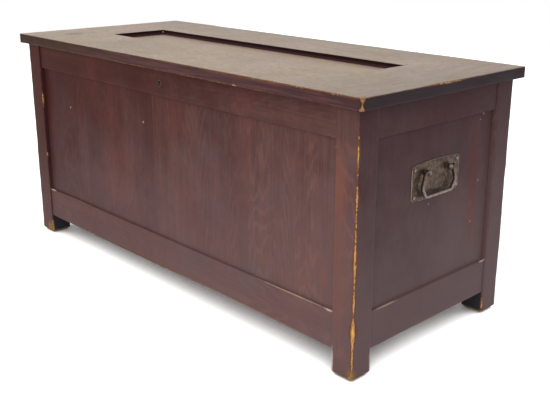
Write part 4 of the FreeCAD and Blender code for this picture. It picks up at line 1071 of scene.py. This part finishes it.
def bail_recipe():
    bail = Recipe("forged bail")

    def rounded(curve, radius, count):
        feeds = {"Curve": curve, "Radius": radius, "Count": count, "Limit Radius": True}
        return bail.add("FilletCurve", feeds, mode="POLY")

    path = bail.add("MeshToCurve", {0: bail.points})
    path = rounded(path, BEND_RADIUS, BEND_COUNT)
    path = bail.add("ResampleCurve", {"Curve": path, "Length": BAR_STEP}, mode="LENGTH")
    section = bail.add("CurvePrimitiveQuadrilateral", {"Width": BAR_WIDTH, "Height": BAR_THICKNESS})
    section = rounded(section, BAR_BEVEL, BEVEL_COUNT)
    section = bail.add("ResampleCurve", {"Curve": section, "Count": SECTION_COUNT}, mode="COUNT")
    bar = bail.add("CurveToMesh", {"Curve": path, "Profile Curve": section, "Fill Caps": True})
    feeds = {"W": bail.size("Seed"), "Scale": BLOW_GRAIN, "Detail": BLOW_DETAIL}
    blows = bail.node("TexNoise", "Fac", feeds, noise_dimensions="4D")
    lift = bail.times(bail.maths("SUBTRACT", blows, BLOW_LEVEL), BLOW_DEPTH)
    move = bail.vector("MULTIPLY", bail.add("InputNormal"), lift)
    return bail.end(bail.add("SetPosition", {"Geometry": bar, "Offset": move}))


def bail_path(sign):
    end_y = ARM_Y - END_RISE * ARM_FLARE / ARM_DROP
    low_y = ARM_Y + ARM_FLARE
    half = [(end_y, END_RISE), (low_y, -ARM_DROP), (low_y - CORNER_IN, -BAIL_DROP)]
    points = half + [(-y, z) for y, z in reversed(half)]
    mesh = bpy.data.meshes.new("bail_path")
    places = [(sign * PIVOT_X, y, STUD_Z + z) for y, z in points]
    mesh.from_pydata(places, [(n, n + 1) for n in range(len(places) - 1)], [])
    return mesh


def add_pins(piece, sign):
    """The two pins at the bail's ends, that turn in the studs."""
    bm = bmesh.new()
    bm.from_mesh(piece.data)
    raised = bm.verts.layers.float.new("raised")
    # polish towards the lower bar, where hands rub it, and a painted highlight on the bar's outer
    # face
    for vert in bm.verts:
        outward = (sign * vert.co.x - PIVOT_X) / (BAR_THICKNESS / 2)
        low = min(1.0, (STUD_Z - vert.co.z) / BAIL_DROP)
        vert[raised] = from_0_to_1(np.dot(BAIL_POLISH_AND_HIGHLIGHT, (1.0, outward, low)))
    inner = ARM_Y - PIN_LENGTH
    outline = [(0, inner), (PIN_RADIUS - PIN_CHAMFER, inner), (PIN_RADIUS, inner + PIN_CHAMFER),
               (PIN_RADIUS, ARM_Y), (0, ARM_Y)]
    for way in (1, -1):
        spun(bm, outline, pivot_turn(sign, 0, way))
    bmesh.ops.recalc_face_normals(bm, faces=bm.faces)
    bm.to_mesh(piece.data)
    bm.free()
    piece.data.shade_smooth()
    piece.data.set_sharp_from_angle(angle=BAIL_SHARP)


forged_bail = bail_recipe()
for side, sign in SIDES.items():
    bail = grown(forged_bail, bail_path(sign), f"handle_{side}_bail_forged", f"handle_{side}_bail",
                 seed=BAIL_SEEDS[side])
    add_pins(bail, sign)
    low, high = extent(bail.data.vertices)
    print(bail.name, len(bail.data.vertices), "points,", low.round(4), "to", high.round(4))

# %% [markdown]
# ## Nails and screws
# The same small thing in many places is what Geometry Nodes are best at. The base mesh is only
# points, each with the direction that its fastener faces. One tree puts a domed nail on each point,
# the other a countersunk screw with a slot, and each turns its fasteners by a random angle, because
# nobody lines up their slots.

# %% Fastener trees
NAIL_HEAD, NAIL_RISE, NAIL_SHANK, NAIL_LENGTH = 0.0036, 0.0018, 0.0011, 0.009
NAIL_DENT, DENT_GRAIN, DENT_LEVEL = (0.0007,) * 3, 420.0, (0.5,) * 3
SCREW_HEAD, SCREW_SHANK, SCREW_TIP = 0.0029, 0.0015, 0.0003
SLOT_WIDTH, SLOT_DEPTH = 0.0007, 0.0006
DOME_ROUND, SHANK_ROUND, HEAD_ROUND, STEM_ROUND = 20, 10, 24, 12
FULL_TURN = 6.283


def facing_points(rows):
    """A mesh of bare points, each with the way that its fastener faces."""
    mesh = bpy.data.meshes.new("fastener_places")
    mesh.from_pydata([place for place, _ in rows], [], [])
    facing = mesh.attributes.new("facing", "FLOAT_VECTOR", "POINT")
    facing.data.foreach_set("vector", [v for _, way in rows for v in way])
    return mesh


def set_out(recipe, shapes):
    """Copies the joined shapes to every point, facing its way and turned at random."""
    facing = recipe.add("InputNamedAttribute", {"Name": "facing"}, data_type="FLOAT_VECTOR")
    aligned = recipe.node("FunctionNodeAlignRotationToVector", 0, {"Vector": facing}, axis="Z")
    whole = recipe.add("JoinGeometry", {0: shapes})
    copies = recipe.add("InstanceOnPoints",
                        {"Points": recipe.points, "Instance": whole, "Rotation": aligned})
    feeds = {2: 0.0, 3: FULL_TURN, "Seed": recipe.size("Seed", "Int")}
    spin = recipe.node("FunctionNodeRandomValue", 1, feeds, data_type="FLOAT")
    turned = recipe.add("RotateInstances", {"Instances": copies, "Local Space": True,
                                            "Rotation": recipe.xyz(0.0, 0.0, spin)})
    return recipe.end(recipe.add("RealizeInstances", {0: turned}))


def nail_recipe():
    nail = Recipe("domed nails")
    feeds = {"Segments": DOME_ROUND, "Rings": DOME_ROUND // 2, "Radius": 1.0}
    dome = nail.add("MeshUVSphere", feeds)
    dome = nail.add("Transform", {"Geometry": dome, "Scale": (NAIL_HEAD, NAIL_HEAD, NAIL_RISE)})
    dents = nail.node("TexNoise", "Color", {"Scale": DENT_GRAIN, "Detail": 1.0})
    moved = nail.vector("MULTIPLY", nail.vector("SUBTRACT", dents, DENT_LEVEL), NAIL_DENT)
    dome = nail.add("SetPosition", {"Geometry": dome, "Offset": moved})
    dome = nail.add("StoreNamedAttribute", {"Geometry": dome, "Name": "raised", "Value": 1.0})
    stem = nail.add("MeshCylinder", {"Vertices": SHANK_ROUND, "Radius": NAIL_SHANK,
                                     "Depth": NAIL_LENGTH})
    stem = nail.add("Transform", {"Geometry": stem, "Translation": (0.0, 0.0, -NAIL_LENGTH / 2)})
    return set_out(nail, [dome, stem])


def screw_recipe():
    screw = Recipe("slotted screws")
    length, taper = screw.size("Length"), SCREW_HEAD - SCREW_SHANK

    def cone(count, top, bottom, depth, drop):
        made = screw.add("MeshCone", {"Vertices": count, "Radius Top": top, "Radius Bottom": bottom,
                                      "Depth": depth})
        down = screw.xyz(0.0, 0.0, screw.times(drop, -1.0))
        return screw.add("Transform", {"Geometry": made, "Translation": down})

    head = cone(HEAD_ROUND, SCREW_HEAD, SCREW_SHANK, taper, taper)
    slot = screw.add("MeshCube", {"Size": (3 * SCREW_HEAD, SLOT_WIDTH, 2 * SLOT_DEPTH)})
    slotted = screw.add("MeshBoolean", {"Mesh 1": head, "Mesh 2": slot},
                        operation="DIFFERENCE", solver="EXACT")
    stem_length = screw.maths("SUBTRACT", length, taper)
    stem = cone(STEM_ROUND, SCREW_SHANK, SCREW_TIP, stem_length, length)
    return set_out(screw, [slotted, stem])


domed_nails, slotted_screws = nail_recipe(), screw_recipe()

# %% Set out the fasteners
FRAME_SCREW_HEAD = 0.0028


def rows_of(node, axis, edge):
    """The two outer rows of a set of fasteners: its box, less the edge of a head."""
    low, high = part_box(node)
    return low[axis] + edge, high[axis] - edge


NAIL_PLACES = [(y, z) for y in rows_of("handle_right_nails", 1, NAIL_HEAD)
               for z in rows_of("handle_right_nails", 2, NAIL_HEAD)]
HINGE_X = (-0.352, 0.352)
LEAF_NEAR, LEAF_FAR = rows_of("hinge_case_screws", 1, FRAME_SCREW_HEAD)
LEAF_ROW = ((-0.022, LEAF_FAR), (0.0, LEAF_NEAR), (0.022, LEAF_FAR))
LEAF_LOW, LEAF_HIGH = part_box("hinge_case_screws")[1][2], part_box("hinge_lid_screws")[0][2]
LOCK_Y, LOCK_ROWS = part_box("lock_screws")[1][1], rows_of("lock_screws", 2, FRAME_SCREW_HEAD)
LINK_Y = rows_of("lid_link_screws", 1, FRAME_SCREW_HEAD)[0]
LINK_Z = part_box("lid_link_screws")[0][2]
UP, DOWN, BACK = (0, 0, 1), (0, 0, -1), (0, 1, 0)


def leaf_screws(z, way):
    return [((x + dx, y, z), way) for x in HINGE_X for dx, y in LEAF_ROW]


SCREW_SETS = [
    ("hinge_case_screws", 0.016, leaf_screws(LEAF_LOW, UP)),
    ("hinge_lid_screws", 0.016, leaf_screws(LEAF_HIGH, DOWN)),
    ("lock_screws", 0.010, [((x, LOCK_Y, z), BACK) for x in (-0.034, 0.034) for z in LOCK_ROWS]),
    ("lid_link_screws", 0.016, [((x, LINK_Y, LINK_Z), DOWN) for x in (-0.026, 0.026)]),
]
NAIL_SEEDS = {"right": 6, "left": 4}
FIRST_SCREW_SEED = 20

for side, sign in SIDES.items():
    points = facing_points([((sign * PLATE_FACE_X, y, z), (sign, 0, 0)) for y, z in NAIL_PLACES])
    node = f"handle_{side}_nails"
    nails = grown(domed_nails, points, f"{node}_domed", node, seed=NAIL_SEEDS[side])
    print(nails.name, len(nails.data.polygons), "faces")
for seed, (node, length, rows) in enumerate(SCREW_SETS, FIRST_SCREW_SEED):
    screws = grown(slotted_screws, facing_points(rows), f"{node}_slotted", node,
                   length=length, seed=seed)
    print(screws.name, len(screws.data.polygons), "faces")

# %% [markdown]
# ## Floor and light
# The floor is plain and pale. To the camera it also glows a little, so that it meets the white
# background without a line. The glow fades within a hand's width of the chest, where little open
# air reaches the floor, so the chest keeps its shadow. The world is white where the camera, a
# glossy or a see-through ray meets it, and a plain soft light for everything else.

# %% Floor
FLOOR_HALF = 4.0
FLOOR_COLOUR, WHITE = (0.9, 0.9, 0.9), (1.0, 1.0, 1.0)
FLOOR_GLOW, WORLD_LIGHT = 0.75, 0.8
SHADE_REACH, SHADE_STEP = 0.16, (0.16, 0.52)


def seen_directly(tree):
    """1 for a ray from the camera, a mirror or clear glass, and 0 for a ray that gathers light."""
    path = tree.node("LightPath").node.outputs
    return tree.larger(*[path[f"Is {kind} Ray"] for kind in ("Camera", "Glossy", "Transmission")])


def floor_finish():
    floor = bpy.data.materials.new("floor")
    floor.use_nodes = True
    floor.node_tree.nodes.clear()
    tree = Tree(floor.node_tree)
    open_air = tree.node("AmbientOcclusion", "AO", {"Distance": SHADE_REACH})
    strength = tree.times(tree.ramp(open_air, *SHADE_STEP, 0.0, FLOOR_GLOW), seen_directly(tree))
    matt = tree.node("BsdfDiffuse", 0, {"Color": FLOOR_COLOUR})
    glow = tree.node("Emission", 0, {"Strength": strength})
    output = floor.node_tree.nodes.new("ShaderNodeOutputMaterial")
    tree.feed(output.inputs["Surface"], tree.node("AddShader", 0, {0: matt, 1: glow}))
    return floor


floor_mesh = bpy.data.meshes.new("floor")
floor_mesh.from_pydata([(x * FLOOR_HALF, y * FLOOR_HALF, 0)
                        for x, y in ((-1, -1), (1, -1), (1, 1), (-1, 1))], [], [(0, 1, 2, 3)])
floor = placed("floor", floor_mesh)
put_on(floor, floor_finish())

# %% World
world = bpy.data.worlds.new("soft_surround")
world.use_nodes = True
sky = Tree(world.node_tree)
surround = world.node_tree.nodes["Background"].inputs
sky.feed(surround["Color"], WHITE)
sky.feed(surround["Strength"], sky.ramp(seen_directly(sky), 0.0, 1.0, WORLD_LIGHT, 1.0))
bpy.context.scene.world = world

# %% [markdown]
# One large soft lamp stands in front of the chest, to the right and higher than the camera. It
# makes the front a little brighter than the end, and its size keeps the shadow soft.

# %% Lamp
LAMP_PLACE, LAMP_AIM = Vector((1.4, -2.8, 1.5)), Vector((0.1, 0.0, 0.25))
LAMP_SIZE, LAMP_POWER = 2.4, 30.0

lamp = bpy.data.lights.new("key", "AREA")
lamp.size, lamp.energy = LAMP_SIZE, LAMP_POWER
turn = (LAMP_AIM - LAMP_PLACE).to_track_quat("-Z", "Y").to_matrix().to_4x4()
placed("key", lamp).matrix_world = Matrix.Translation(LAMP_PLACE) @ turn
bpy.context.scene.view_settings.view_transform = "Standard"
print("world", WORLD_LIGHT, "floor glow", FLOOR_GLOW, "lamp", LAMP_POWER, "W")
